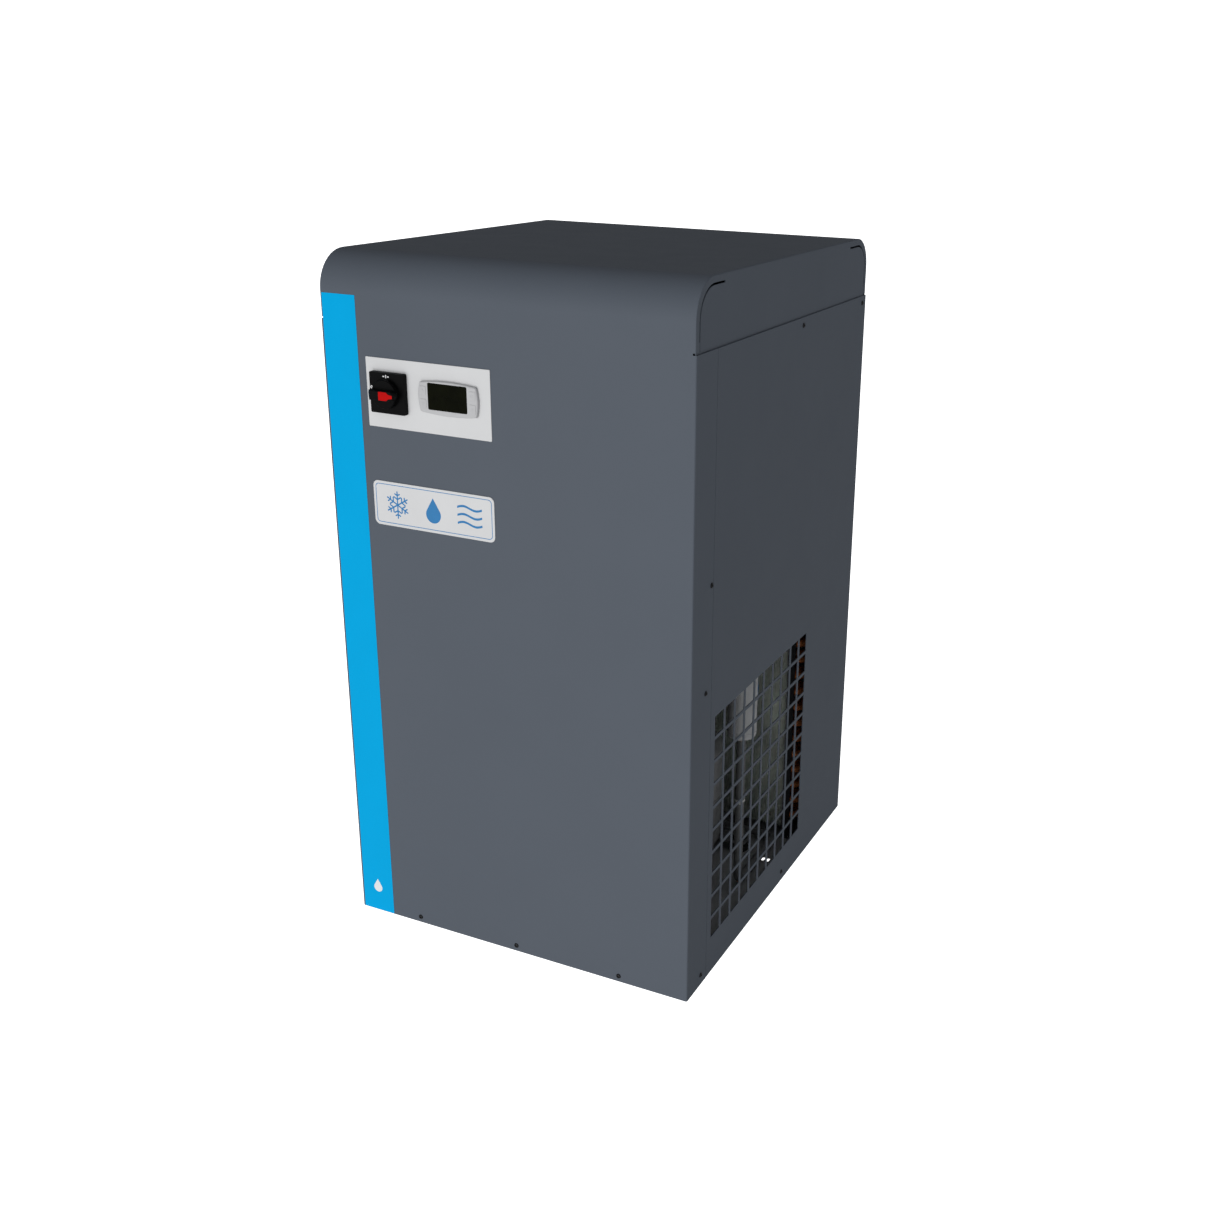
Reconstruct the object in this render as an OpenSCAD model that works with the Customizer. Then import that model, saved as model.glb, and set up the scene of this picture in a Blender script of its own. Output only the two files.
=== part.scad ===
// Refrigerated compressed-air dryer in a floor-standing sheet-metal cabinet.
// Millimetres. +Z is up, the front faces -Y, and the origin is on the floor under the cabinet's centre.

/* [Cabinet] */
// Width across the side panels
body_w = 426; // [424:1:432]
// Depth from the front sheet to the rear panel
body_d = 481; // [481:1:486]
// Height from the floor to the top sheet
body_h = 764; // [758:1:780]
// Thickness of the cabinet sheets
sheet = 1.2; // [1:0.1:1.5]
// Height of the seam between the hood and the panels below it
seam_z = 696.3; // [690:0.1:700]
// Width of the open seam
seam_gap = 2; // [1.5:0.1:2.5]
// Outer radius where the front sheet rolls over into the top
front_r = 39.5; // [36:0.5:42]
// Outer radius where the top rolls over into the rear lip
rear_r = 35; // [32:0.5:38]
// How far the hood stands in from the panels on each side
hood_step = 1; // [0.5:0.1:1.2]
// Width of the return flange of the front sheet
flange_w = 47.4; // [46:0.1:50]
// Height of the sheets' lower edges above the floor
skirt_z = 1; // [0.5:0.1:2]

/* [Side grille] */
// Square holes along each side of the grille
grille_n = 10; // [6:1:10]
// Distance from one hole to the next
grille_pitch = 27; // [26:0.5:27]
// Width of one square hole
grille_hole = 23; // [18:0.5:24]
// Front edge of the first hole, behind the front sheet
grille_y = 59.2; // [58:0.1:64]
// Lower edge of the lowest hole
grille_z = 45.7; // [44:0.1:50]

/* [Front trim] */
// Width of the coloured strip
strip_w = 41.6; // [36:0.1:44]
// Left edge of the coloured strip
strip_x = -210; // [-211:0.5:-206]
// Width and height of the white fascia
fascia_w = 149.3; // [146:0.1:152]
fascia_h = 71.9; // [68:0.1:76]
// Left edge and lower edge of the fascia
fascia_x = -158.9; // [-160:0.1:-156]
fascia_z = 589.4; // [586:0.1:592]
// Height of the badge plate, which is as wide as the fascia
badge_h = 48; // [40:1:60]
// Height of the badge plate's centre
badge_z = 507.6; // [500:0.1:515]

/* [Condenser and fan] */
// Levels of tubes in the condenser, two tubes each
coil_levels = 13; // [7:2:13]
// Height from one level to the next
coil_pitch = 21.5; // [21:0.1:22]
// Distance between the two rows of tubes
row_pitch = 22; // [20:0.5:23]
// Radius of the fan's blade tips
fan_tip_r = 122; // [100:1:124]
// Blades on the fan
fan_blades = 5; // [4:1:7]
// Tilt of the blades
fan_tilt = 28; // [20:1:30]

/* [Air ports] */
// Radius of the tapped hole of the two air ports
port_bore_r = 12.06; // [11.5:0.01:12.5]
// Depth of the tapped hole
port_depth = 18; // [14:1:20]
// Height of the two air ports
port_z = 640; // [630:1:650]

/* [Hidden] */
$fn = 48;
eps = 0.1;
// Clearance between neighbouring sheets, and between a screw and its hole
gap = 0.2;
screw_gap = 0.1;

steel_grey = "#5a5f68";
dark_steel = "#33363b";
light_grey = "#bfc2c4";
white_trim = "#dcdcdc";
strip_blue = "#00a8e1";
black_plastic = "#141414";
copper = "#b8703f";
zinc = "#a9adb0";
aluminium = "#c4c7c9";

// Faces of the cabinet
hw = body_w / 2;
yf = -body_d / 2;
yr = body_d / 2;
panel_in = hw - sheet;
seam_low = seam_z - seam_gap / 2;
seam_high = seam_z + seam_gap / 2;
hood_hw = hw - hood_step;

// Relief slots in the hood's cheeks
slot_in = 7.2;
slot_w = 2.2;
slot_front = 63.1;
slot_rear = 417.6;
notch = 4;

// Lips that the screws reach behind the outer sheets
lip_out = panel_in - gap;
lip_h = 31;
lip_z = seam_z - 21;

// Screws: radius of the shank, of the head, and its height
screw_r = 2;
screw_head_r = 2.8;
screw_head_h = 1.4;
screw_len = 9;
hole_r = screw_r + screw_gap;
front_screw_x = [-130.3, 0, 130.3];
front_screw_z = 8;
side_screw_yz = [[31.2, 686.5], [227.8, 687], [-197.5, 461], [-206.9, 348], [-206.4, 13.4], [29.5, 13.4]];
rear_screw_x = 201;
rear_screw_z = [60, 250, 440, 630];
rear_lip_screw = [120, 685];
rear_base_screw = [100, 10];

// Base pan
base_t = 1.5;
floor_z = 20;
base_hw = hw - 2 * sheet - 2 * gap - 0.2;
base_front = yf + sheet + 0.6;
base_rear = yr - 2 * sheet - 3 * gap - 0.4;
skid_w = 40;
anchor_x = 190;
anchor_y = 205;
anchor_r = 4.5;
// Pair of drain slots in the pan, and the hole in the skid under them
pan_slot_x = [185.6, 191.8];
pan_slot_y = 38;
skid_hole = [176.5, 69, 9];

// Front controls
switch_x = -129.9;
switch_z = 626.75;
switch_w = 42;
switch_chamfer = 3;
fascia_t = 0.8;
fascia_face = yf - fascia_t;
plate_front = fascia_face - 6;
drum_r = 15.2;
drum_front = plate_front - 6.5;
knob_front = -261;
grip_w = 11;
grip_r = 17.2;
grip_slope = 47;
spindle_r = 4;
running = 0.06;
spindle_back = yf + 22;
ctrl_x = -58;
ctrl_z = 627.4;
ctrl_w = 71;
ctrl_h = 35;
ctrl_front = fascia_face - 4;
ctrl_body_w = 66;
ctrl_body_h = 27.8;
window_w = 46.5;
window_low = -12.1;
window_top = 15;
key_w = 7.6;
key_h = 9;
key_x = 29.4;
key_z = 6.6;
key_gap = 0.3;

// Condenser
coil_y = 97.5;
coil_depth = 44;
coil_hw = 186;
coil_z = 34;
coil_top = 324;
coil_z0 = 49;
coil_r = 4.76;
coil_wall = 0.6;
fin_count = 24;
fin_t = 1.2;
row_y = [coil_y + coil_depth / 2 - row_pitch / 2, coil_y + coil_depth / 2 + row_pitch / 2];
end_plate_t = 1.5;
bend_stub = 2;
coil_end = coil_hw + end_plate_t + bend_stub;
top_level = coil_levels - 1;
function level_z(i) = coil_z0 + i * coil_pitch;

// Fan
fan_z = 178;
shroud_y = 145.3;
shroud_plate = 178;
ring_r = 128;
ring_end = 212;
motor_r = 40;
motor_y = 148;
motor_end = 184;
hub_r = 38;
hub_y = 192;
hub_end = 213;
shaft_r = 4;
blade_y = 203;
outlet_r = 131;

// Compressor
comp_x = 72;
comp_y = -12;
comp_r = 70;
comp_wall = 2.5;
comp_z = 38;
comp_seam = 130;
comp_top = 197;
comp_lap = 12;
foot_x = 76;
foot_y = 60;
foot_z = 33;
grommet_r = 12;

// Air exchanger, its insulation and the shelf under them
shelf_z = 338;
shelf_front = 20;
shelf_hw = base_hw - 0.5;
ins_x0 = -150;
ins_x1 = 100;
ins_y0 = 40;
ins_y1 = 200;
ins_z1 = 600;
ins_split = 470;
core_x0 = -120;
core_x1 = 70;
core_y0 = 75;
core_y1 = 165;
core_z0 = 365;
core_z1 = 575;
port_x = [-70, 30];
port_y = 120;
port_end = 261;
socket_r = 17;
pipe_r = 14;
pipe_wall = 1.5;

// Drain and refrigerant lines
drain_z = 385;
drain_y = 100;
drain_x = 165;
valve_x = 126;
lever_z = 403;
gland_x = -165;
gland_z = 520;
drier_x = 184;
drier_y = -40;
drier_r = 17;
drier_z0 = 222;
drier_z1 = 336;
line_r = 4;
suction_r = 6;
hot_x = -150;
hot_y = comp_y;

// ---------- shared shapes ----------

// A box given by its two opposite corners
module box(a, b) {
    translate(a) cube(b - a);
}

// A cylinder along +Y
module rod_y(p, r, h) {
    translate(p) rotate([-90, 0, 0]) cylinder(r = r, h = h);
}

// A cylinder along +X
module rod_x(p, r, h) {
    translate(p) rotate([0, 90, 0]) cylinder(r = r, h = h);
}

// Columns of a frame whose z axis is the unit vector d
function side_of(d) = abs(d.x) > 0.5 ? [0, 1, 0] : [1, 0, 0];
function unit(v) = v / norm(v);

module along(p, d) {
    x = side_of(d);
    y = cross(d, x);
    multmatrix([
        [x.x, y.x, d.x, p.x],
        [x.y, y.y, d.y, p.y],
        [x.z, y.z, d.z, p.z],
        [0, 0, 0, 1]
    ]) children();
}

// Cross-section of a tube
module tube_section(r, wall) {
    difference() {
        circle(r = r);
        if (wall > 0) circle(r = r - wall);
    }
}

// A quarter bend at the corner p between the directions d1 and d2
module tube_bend(p, d1, d2, r, bend, wall) {
    c = p + bend * (d2 - d1);
    x = -d2;
    y = d1;
    z = cross(x, y);
    multmatrix([
        [x.x, y.x, z.x, c.x],
        [x.y, y.y, z.y, c.y],
        [x.z, y.z, z.z, c.z],
        [0, 0, 0, 1]
    ])
    rotate_extrude(angle = 90) translate([bend, 0]) tube_section(r, wall);
}

// A tube through square corners: straight runs with a quarter bend at each corner
module tube_path(points, r, bend, wall = 0.8) {
    last = len(points) - 1;
    for (i = [0:last - 1]) {
        d = unit(points[i + 1] - points[i]);
        from = i == 0 ? 0 : bend;
        to = norm(points[i + 1] - points[i]) - (i == last - 1 ? 0 : bend);
        if (to - from > 0.01)
            along(points[i] + from * d, d) linear_extrude(to - from) tube_section(r, wall);
        if (i < last - 1)
            tube_bend(points[i + 1], d, unit(points[i + 2] - points[i + 1]), r, bend, wall);
    }
}

// A screw whose head rests on a face at p and whose shank runs along d
module screw(p, d) {
    along(p, d) {
        cylinder(r = screw_r, h = screw_len);
        translate([0, 0, -screw_head_h]) difference() {
            cylinder(r = screw_head_r, h = screw_head_h);
            translate([0, 0, -eps]) cylinder(r = 1.3, h = 0.9, $fn = 6);
        }
    }
}

// Holes for the screws, through every sheet that they pass
module front_screw_holes() {
    for (x = front_screw_x) rod_y([x, yf - eps, front_screw_z], hole_r, 12);
}

module side_screw_holes(side) {
    for (p = side_screw_yz) rod_x([side > 0 ? hw - 12 : -hw - eps, p[0], p[1]], hole_r, 12 + eps);
}

module rear_screw_holes() {
    for (s = [-1, 1]) {
        for (z = rear_screw_z) rod_y([s * rear_screw_x, yr - 12, z], hole_r, 12 + eps);
        rod_y([s * rear_lip_screw[0], yr - 12, rear_lip_screw[1]], hole_r, 12 + eps);
        rod_y([s * rear_base_screw[0], yr - 12, rear_base_screw[1]], hole_r, 12 + eps);
    }
}

// ---------- cabinet ----------

// Side view of the closed hood, shrunk inwards by inset: x is the cabinet's y, y is its z
module hood_outline(inset) {
    low = seam_low - 40;
    translate([yf + inset, low]) square([body_d - 2 * inset, body_h - front_r - low]);
    translate([yf + front_r, low]) square([body_d - front_r - inset, body_h - rear_r - low]);
    translate([yf + front_r, low]) square([body_d - front_r - rear_r, body_h - inset - low]);
    translate([yf + front_r, body_h - front_r]) circle(r = front_r - inset);
    translate([yr - rear_r, body_h - rear_r]) circle(r = rear_r - inset);
}

// The relief slots that free the rolled corners from the cheeks
module hood_slots() {
    intersection() {
        difference() {
            hood_outline(slot_in);
            hood_outline(slot_in + slot_w);
        }
        union() {
            translate([yf, seam_low]) square([slot_front, body_h]);
            translate([yf + slot_rear, seam_low]) square([body_d, body_h]);
        }
    }
}

// Rolled sheet: front, top and rear lip
module hood_rolled_sheet() {
    rotate([90, 0, 90]) linear_extrude(2 * hood_hw, center = true) intersection() {
        difference() {
            hood_outline(0);
            hood_outline(sheet);
        }
        translate([yf, seam_high]) square([body_d, body_h]);
    }
}

module hood_cheek(side) {
    x = side > 0 ? hood_hw - sheet : -hood_hw;
    translate([x, 0, 0]) rotate([90, 0, 90]) linear_extrude(sheet) intersection() {
        difference() {
            hood_outline(0);
            hood_slots();
        }
        translate([yf, seam_high]) square([body_d, body_h]);
    }
}

module hood_front_sheet() {
    box([-hw, yf, skirt_z], [hw, yf + sheet, seam_low]);
    box([-hw + notch, yf, seam_low - eps], [hw - notch, yf + sheet, seam_high + eps]);
}

module hood_lips() {
    for (s = [-1, 1]) {
        x0 = s > 0 ? lip_out - sheet : -lip_out;
        box([x0, yf + sheet - eps, lip_z], [x0 + sheet, yr - 3, lip_z + lip_h]);
        fx = s > 0 ? panel_in : -hw;
        box([fx, yf, skirt_z], [fx + sheet, yf + flange_w, seam_low]);
    }
    lip_y = yr - sheet - gap;
    box([-206, lip_y - sheet, lip_z], [206, lip_y, lip_z + lip_h]);
    box([-180, lip_y - sheet, seam_high + 2], [180, lip_y + sheet, lip_z + lip_h]);
}

module hood() {
    color(steel_grey) difference() {
        union() {
            hood_rolled_sheet();
            hood_front_sheet();
            hood_cheek(1);
            hood_cheek(-1);
            hood_lips();
        }
        front_screw_holes();
        side_screw_holes(1);
        side_screw_holes(-1);
        rear_screw_holes();
        rod_y([switch_x, yf - eps, switch_z], 12, sheet + 2 * eps);
        control_cutout();
    }
}

// Opening for the controller in the fascia and the front sheet
module control_cutout() {
    w = ctrl_body_w / 2 + 0.3;
    h = ctrl_body_h / 2 + 0.3;
    box([ctrl_x - w, fascia_face - eps, ctrl_z - h], [ctrl_x + w, yf + sheet + eps, ctrl_z + h]);
}

// A side panel with a joggled front lip and a rear return flange
module side_panel(side) {
    y0 = yf + flange_w + 0.6;
    lip_x = lip_out - sheet;
    mirror([side > 0 ? 0 : 1, 0, 0]) difference() {
        union() {
            box([panel_in, y0, skirt_z], [hw, yr, seam_low]);
            box([lip_x, yf + 18, 26], [lip_x + sheet, y0 + 4, lip_z - 6]);
            box([lip_x, y0 + 1, 26], [panel_in + eps, y0 + 4, lip_z - 6]);
            box([190, yr - 2 * sheet - gap, 26], [hw - eps, yr - sheet - gap, lip_z - 6]);
        }
        side_screw_holes(1);
        rear_screw_holes();
    }
}

module right_side_panel() {
    color(steel_grey) difference() {
        side_panel(1);
        for (i = [0:grille_n - 1], j = [0:grille_n - 1])
            translate([panel_in - 1, yf + grille_y + i * grille_pitch, grille_z + j * grille_pitch])
                cube([sheet + 2, grille_hole, grille_hole]);
    }
}

module left_side_panel() {
    color(steel_grey) side_panel(-1);
}

module rear_panel() {
    color(steel_grey) difference() {
        box([-panel_in + gap, yr - sheet, skirt_z], [panel_in - gap, yr, seam_low]);
        rear_screw_holes();
        rod_y([0, yr - 5, fan_z], outlet_r, 10);
        for (x = port_x) rod_y([x, yr - 5, port_z], socket_r + 2, 10);
        rod_y([gland_x, yr - 5, gland_z], 8.2, 10);
        rod_y([drain_x, yr - 5, drain_z], 7.2, 10);
    }
}

module base_pan() {
    color(dark_steel) difference() {
        union() {
            box([-base_hw, base_front, floor_z - base_t], [base_hw, base_rear, floor_z]);
            for (s = [0, 1]) mirror([s, 0, 0]) {
                box([base_hw - base_t, base_front, 0], [base_hw, base_rear, floor_z]);
                box([base_hw - skid_w, base_front, 0], [base_hw, base_rear, base_t]);
            }
            box([-base_hw, base_front, 0], [base_hw, base_front + base_t, floor_z]);
            box([-base_hw, base_rear - base_t, 0], [base_hw, base_rear, floor_z]);
        }
        front_screw_holes();
        side_screw_holes(1);
        side_screw_holes(-1);
        rear_screw_holes();
        for (x = [-anchor_x, anchor_x], y = [-anchor_y, anchor_y])
            translate([x, y, -eps]) cylinder(r = anchor_r, h = floor_z + 2 * eps);
        for (p = compressor_feet_xy()) translate([p.x, p.y, 10]) cylinder(r = 4.2, h = 20);
        for (x = pan_slot_x, y = [-2.5, 2.5]) translate([x, pan_slot_y + y, 10]) cylinder(r = 2, h = 20);
        for (x = pan_slot_x) translate([x - 2, pan_slot_y - 2.5, 10]) cube([4, 5, 20]);
        translate([skid_hole.x, skid_hole.y, -eps]) cylinder(r = skid_hole.z, h = base_t + 2 * eps);
    }
}

module component_shelf() {
    color(zinc) {
        box([-shelf_hw, shelf_front, shelf_z - base_t], [shelf_hw, base_rear, shelf_z]);
        box([-shelf_hw, shelf_front, shelf_z - 18], [shelf_hw, shelf_front + base_t, shelf_z]);
        box([-shelf_hw, base_rear - base_t, shelf_z - eps], [shelf_hw, base_rear, shelf_z + 18]);
        for (s = [0, 1]) mirror([s, 0, 0])
            box([shelf_hw - base_t, shelf_front, shelf_z - 18], [shelf_hw, base_rear, shelf_z]);
    }
}

module hood_screws() {
    color(black_plastic) for (x = front_screw_x) screw([x, yf, front_screw_z], [0, 1, 0]);
}

module side_screws() {
    color(black_plastic) for (p = side_screw_yz, s = [-1, 1]) screw([s * hw, p[0], p[1]], [-s, 0, 0]);
}

module rear_screws() {
    color(black_plastic) for (s = [-1, 1]) {
        for (z = rear_screw_z) screw([s * rear_screw_x, yr, z], [0, -1, 0]);
        screw([s * rear_lip_screw[0], yr, rear_lip_screw[1]], [0, -1, 0]);
        screw([s * rear_base_screw[0], yr, rear_base_screw[1]], [0, -1, 0]);
    }
}

// ---------- front trim and controls ----------

module colour_strip() {
    color(strip_blue) box([strip_x, yf - 0.3, skirt_z + 0.5], [strip_x + strip_w, yf, 722]);
}

module control_fascia() {
    color(white_trim) difference() {
        box([fascia_x, fascia_face, fascia_z], [fascia_x + fascia_w, yf, fascia_z + fascia_h]);
        rod_y([switch_x, fascia_face - eps, switch_z], 12, fascia_t + 2 * eps);
        control_cutout();
    }
}

// A plain plate with rounded corners
module badge_plate() {
    w = fascia_w;
    h = badge_h;
    r = 6;
    color(white_trim) translate([fascia_x + w / 2, yf, badge_z]) rotate([90, 0, 0]) linear_extrude(fascia_t) {
        square([w, h - 2 * r], center = true);
        square([w - 2 * r, h], center = true);
        for (x = [-1, 1], y = [-1, 1]) translate([x * (w / 2 - r), y * (h / 2 - r)]) circle(r = r);
    }
}

// Square with cut corners, centred
module cut_square(w, c) {
    h = w / 2;
    polygon([
        [-h, -h + c], [-h + c, -h], [h - c, -h], [h, -h + c],
        [h, h - c], [h - c, h], [-h + c, h], [-h, h - c]
    ]);
}

module mains_switch_plate() {
    color(black_plastic) difference() {
        translate([switch_x, fascia_face, switch_z]) rotate([90, 0, 0])
            linear_extrude(fascia_face - plate_front) cut_square(switch_w, switch_chamfer);
        rod_y([switch_x, plate_front - 1, switch_z], spindle_r + running, 10);
    }
}

module mains_switch_body() {
    front = yf + sheet + 0.3;
    color("#2b2b2b") difference() {
        union() {
            box([switch_x - 22, front, switch_z - 22], [switch_x + 22, front + 16, switch_z + 22]);
            box([switch_x - 20, front + 16, switch_z - 18], [switch_x + 20, front + 46, switch_z + 18]);
            for (x = [-14, 0, 14], s = [-1, 1])
                box([switch_x + x - 4, front + 22, switch_z + s * 20 - 3],
                    [switch_x + x + 4, front + 34, switch_z + s * 20 + 3]);
        }
        rod_y([switch_x, front - 1, switch_z], spindle_r + running, 24);
    }
}

module mains_switch_spindle() {
    color(zinc) rod_y([switch_x, drum_front + 1, switch_z], spindle_r, spindle_back - drum_front - 1);
}

// Outline of the red insert on the grip, with its broad end on the knob's axis
module pointer_outline() {
    polygon([[-0.5, -4.4], [9, -4.4], [12, -2.2], [17, -1.6], [17, 1.6], [12, 2.2], [9, 4.4], [-0.5, 4.4]]);
}

module mains_switch_knob() {
    color(black_plastic) difference() {
        union() {
            rod_y([switch_x, drum_front, switch_z], drum_r, plate_front - 0.3 - drum_front);
            translate([switch_x, drum_front + eps, switch_z]) rotate([90, 0, 0]) difference() {
                linear_extrude(drum_front + eps - knob_front) {
                    square([2 * grip_r - grip_w, grip_w], center = true);
                    for (s = [-1, 1]) translate([s * (grip_r - grip_w / 2), 0]) circle(r = grip_w / 2);
                }
                // The tail slopes down past the drum's rim
                translate([-grip_r, -grip_w, 1]) rotate([0, -grip_slope, 0])
                    translate([-5, 0, 0]) cube([25, 2 * grip_w, 10]);
            }
        }
        rod_y([switch_x, drum_front + 1, switch_z], spindle_r, 20);
        translate([switch_x, knob_front + 1.5, switch_z]) rotate([90, 0, 0])
            linear_extrude(5) pointer_outline();
    }
}

module mains_switch_pointer() {
    color("#d00000") translate([switch_x, knob_front + 1.5, switch_z]) rotate([90, 0, 0])
        linear_extrude(1.5) pointer_outline();
}

// Front view of the controller's bezel: four shallow arcs
module bezel_outline() {
    tall = 242;
    wide = 52;
    intersection() {
        translate([0, ctrl_h / 2 - tall]) circle(r = tall, $fn = 720);
        translate([0, tall - ctrl_h / 2]) circle(r = tall, $fn = 720);
        translate([ctrl_w / 2 - wide, 0]) circle(r = wide, $fn = 180);
        translate([wide - ctrl_w / 2, 0]) circle(r = wide, $fn = 180);
    }
}

module key_places() {
    for (x = [-1, 1], z = [-1, 1]) translate([x * key_x, z * key_z]) children();
}

module controller_bezel() {
    color(light_grey) translate([ctrl_x, fascia_face, ctrl_z]) rotate([90, 0, 0])
        linear_extrude(fascia_face - ctrl_front) difference() {
            bezel_outline();
            translate([-window_w / 2 - 0.1, window_low - 0.1])
                square([window_w + 0.2, window_top - window_low + 0.2]);
            key_places() square([key_w + 2 * key_gap, key_h + 2 * key_gap], center = true);
        }
}

module controller_window() {
    color("#0d0e08")
        box([ctrl_x - window_w / 2, ctrl_front - 0.3, ctrl_z + window_low],
            [ctrl_x + window_w / 2, ctrl_front + 2.2, ctrl_z + window_top]);
}

module controller_body() {
    w = ctrl_body_w / 2;
    h = ctrl_body_h / 2;
    color("#1d1d1d") {
        box([ctrl_x - w, fascia_face + 0.1, ctrl_z - h], [ctrl_x + w, yf + 56, ctrl_z + h]);
        box([ctrl_x - 24, yf + 55, ctrl_z - 11], [ctrl_x + 24, yf + 62, ctrl_z + 9]);
    }
}

module key_cap(sx, sz) {
    x = ctrl_x + sx * key_x;
    z = ctrl_z + sz * key_z;
    color(light_grey)
        box([x - key_w / 2, ctrl_front - 0.3, z - key_h / 2], [x + key_w / 2, ctrl_front + 3.2, z + key_h / 2]);
}

module key_upper_left() {
    key_cap(-1, 1);
}

module key_lower_left() {
    key_cap(-1, -1);
}

module key_upper_right() {
    key_cap(1, 1);
}

module key_lower_right() {
    key_cap(1, -1);
}

// ---------- electrics ----------

ebox_a = [-panel_in + 1, -150, 450];
ebox_b = [-150, -30, 590];

module electrical_box() {
    wall = 2;
    color("#7d8185") difference() {
        box(ebox_a, ebox_b);
        box(ebox_a + [wall, wall, wall], ebox_b + [5, -wall, -wall]);
    }
}

module electrical_cover() {
    wall = 2;
    color("#7d8185") translate([ebox_b.x + 0.2, 0, 0]) {
        box([0, ebox_a.y, ebox_a.z], [wall, ebox_b.y, ebox_b.z]);
        for (y = [ebox_a.y + 8, ebox_b.y - 8], z = [ebox_a.z + 8, ebox_b.z - 8])
            rod_x([wall, y, z], 3, 1.5);
    }
}

module terminal_block() {
    count = 8;
    color("#c9c5b5") for (i = [0:count - 1]) {
        y = ebox_a.y + 14 + i * 11.5;
        difference() {
            box([ebox_a.x + 2.2, y, 490], [ebox_a.x + 34, y + 11.5 + (i < count - 1 ? eps : 0), 530]);
            rod_x([ebox_a.x + 22, y + 5.7, 498], 2.4, 20);
            rod_x([ebox_a.x + 22, y + 5.7, 522], 2.4, 20);
        }
    }
}

module cable_gland() {
    color("#1b1b1b") difference() {
        union() {
            rod_y([gland_x, yr - 13, gland_z], 8, 14);
            translate([gland_x, yr, gland_z]) rotate([-90, 0, 0]) cylinder(r = 11.5, h = 5, $fn = 6);
            rod_y([gland_x, yr + 5, gland_z], 9.5, 9);
            translate([gland_x, yr + 14, gland_z]) rotate([-90, 0, 0]) cylinder(r1 = 9.5, r2 = 6.5, h = 4);
            translate([gland_x, yr - sheet - 4.3, gland_z]) rotate([-90, 0, 0])
                cylinder(r = 11.5, h = 4, $fn = 6);
        }
        rod_y([gland_x, yr - 20, gland_z], 4.5, 50);
    }
}

// ---------- compressor ----------

function compressor_feet_xy() = [
    for (x = [-foot_x, foot_x], y = [-foot_y, foot_y]) [comp_x + x, comp_y + y]
];

// Half section of a cup with a rounded bottom corner
module cup_section(r, h, corner) {
    translate([0, corner]) square([r, h - corner]);
    square([r - corner, h]);
    translate([r - corner, corner]) intersection() {
        circle(r = corner);
        translate([-corner, -corner]) square([2 * corner, corner + 0.01]);
    }
}

module hollow_cup(r, h, corner, wall) {
    rotate_extrude() difference() {
        cup_section(r, h, corner);
        translate([0, wall]) cup_section(r - wall, h, corner - wall);
    }
}

module compressor_shell_lower() {
    color(black_plastic) translate([comp_x, comp_y, comp_z])
        hollow_cup(comp_r, comp_seam - comp_z, 26, comp_wall);
}

module compressor_shell_upper() {
    r = comp_r + comp_wall + 0.1;
    color(black_plastic) difference() {
        translate([comp_x, comp_y, comp_top]) mirror([0, 0, 1])
            hollow_cup(r, comp_top - comp_seam + comp_lap, 34, comp_wall);
        translate([comp_x - 12, comp_y - 8, comp_top - 6]) cylinder(r = suction_r, h = 20);
        rod_x([comp_x - r - 2, comp_y, 150], line_r, 12);
    }
}

module compressor_pump() {
    color("#8b8d90") translate([comp_x, comp_y, 0]) {
        translate([0, 0, 62]) cylinder(r = 54, h = 50);
        translate([0, 0, 112]) cylinder(r = 34, h = 46);
        translate([-46, -18, 116]) cube([92, 36, 32]);
        for (a = [45:90:315]) rotate(a) translate([34, 0, comp_z + comp_wall + 0.1]) cylinder(r = 6, h = 25);
    }
}

module compressor_feet() {
    color(dark_steel) difference() {
        union() {
            box([comp_x - 88, comp_y - foot_y - 12, foot_z], [comp_x + 88, comp_y - foot_y + 14, foot_z + 3]);
            box([comp_x - 88, comp_y + foot_y - 14, foot_z], [comp_x + 88, comp_y + foot_y + 12, foot_z + 3]);
            for (s = [-1, 1])
                box([comp_x + s * 36 - 14, comp_y - foot_y, foot_z], [comp_x + s * 36 + 14, comp_y + foot_y, foot_z + 3]);
        }
        for (p = compressor_feet_xy()) translate([p.x, p.y, foot_z - 1]) cylinder(r = 8, h = 6);
    }
}

module compressor_grommets() {
    color("#1c1c1c") for (p = compressor_feet_xy()) translate([p.x, p.y, 0]) difference() {
        union() {
            translate([0, 0, floor_z]) cylinder(r = grommet_r, h = foot_z - floor_z);
            translate([0, 0, foot_z - eps]) cylinder(r = 7.9, h = 3.3);
            translate([0, 0, foot_z + 3.1]) cylinder(r = 10.5, h = 4);
        }
        translate([0, 0, floor_z - 1]) cylinder(r = 4.3, h = 40);
    }
}

module compressor_bolts() {
    top = foot_z + 7.2;
    color(zinc) for (p = compressor_feet_xy()) translate([p.x, p.y, 0]) {
        translate([0, 0, 9]) cylinder(r = 4, h = top - 8);
        translate([0, 0, top]) cylinder(r = 9, h = 1.5);
        translate([0, 0, top + 1.4]) cylinder(r = 7.2, h = 5.5, $fn = 6);
        translate([0, 0, floor_z - base_t - 6.7]) cylinder(r = 7.2, h = 6.5, $fn = 6);
    }
}

module compressor_terminal_cover() {
    color("#26282b") difference() {
        box([comp_x - 26, comp_y - comp_r - 28, 66], [comp_x + 26, comp_y - comp_r + 18, 112]);
        translate([comp_x, comp_y, 60]) cylinder(r = comp_r + 0.2, h = 60);
    }
}

// ---------- condenser and fan ----------

module condenser_fins() {
    pitch = (2 * coil_hw - fin_t) / (fin_count - 1);
    color(aluminium) for (i = [0:fin_count - 1])
        translate([-coil_hw + i * pitch, coil_y, coil_z]) cube([fin_t, coil_depth, coil_top - coil_z]);
}

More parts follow.
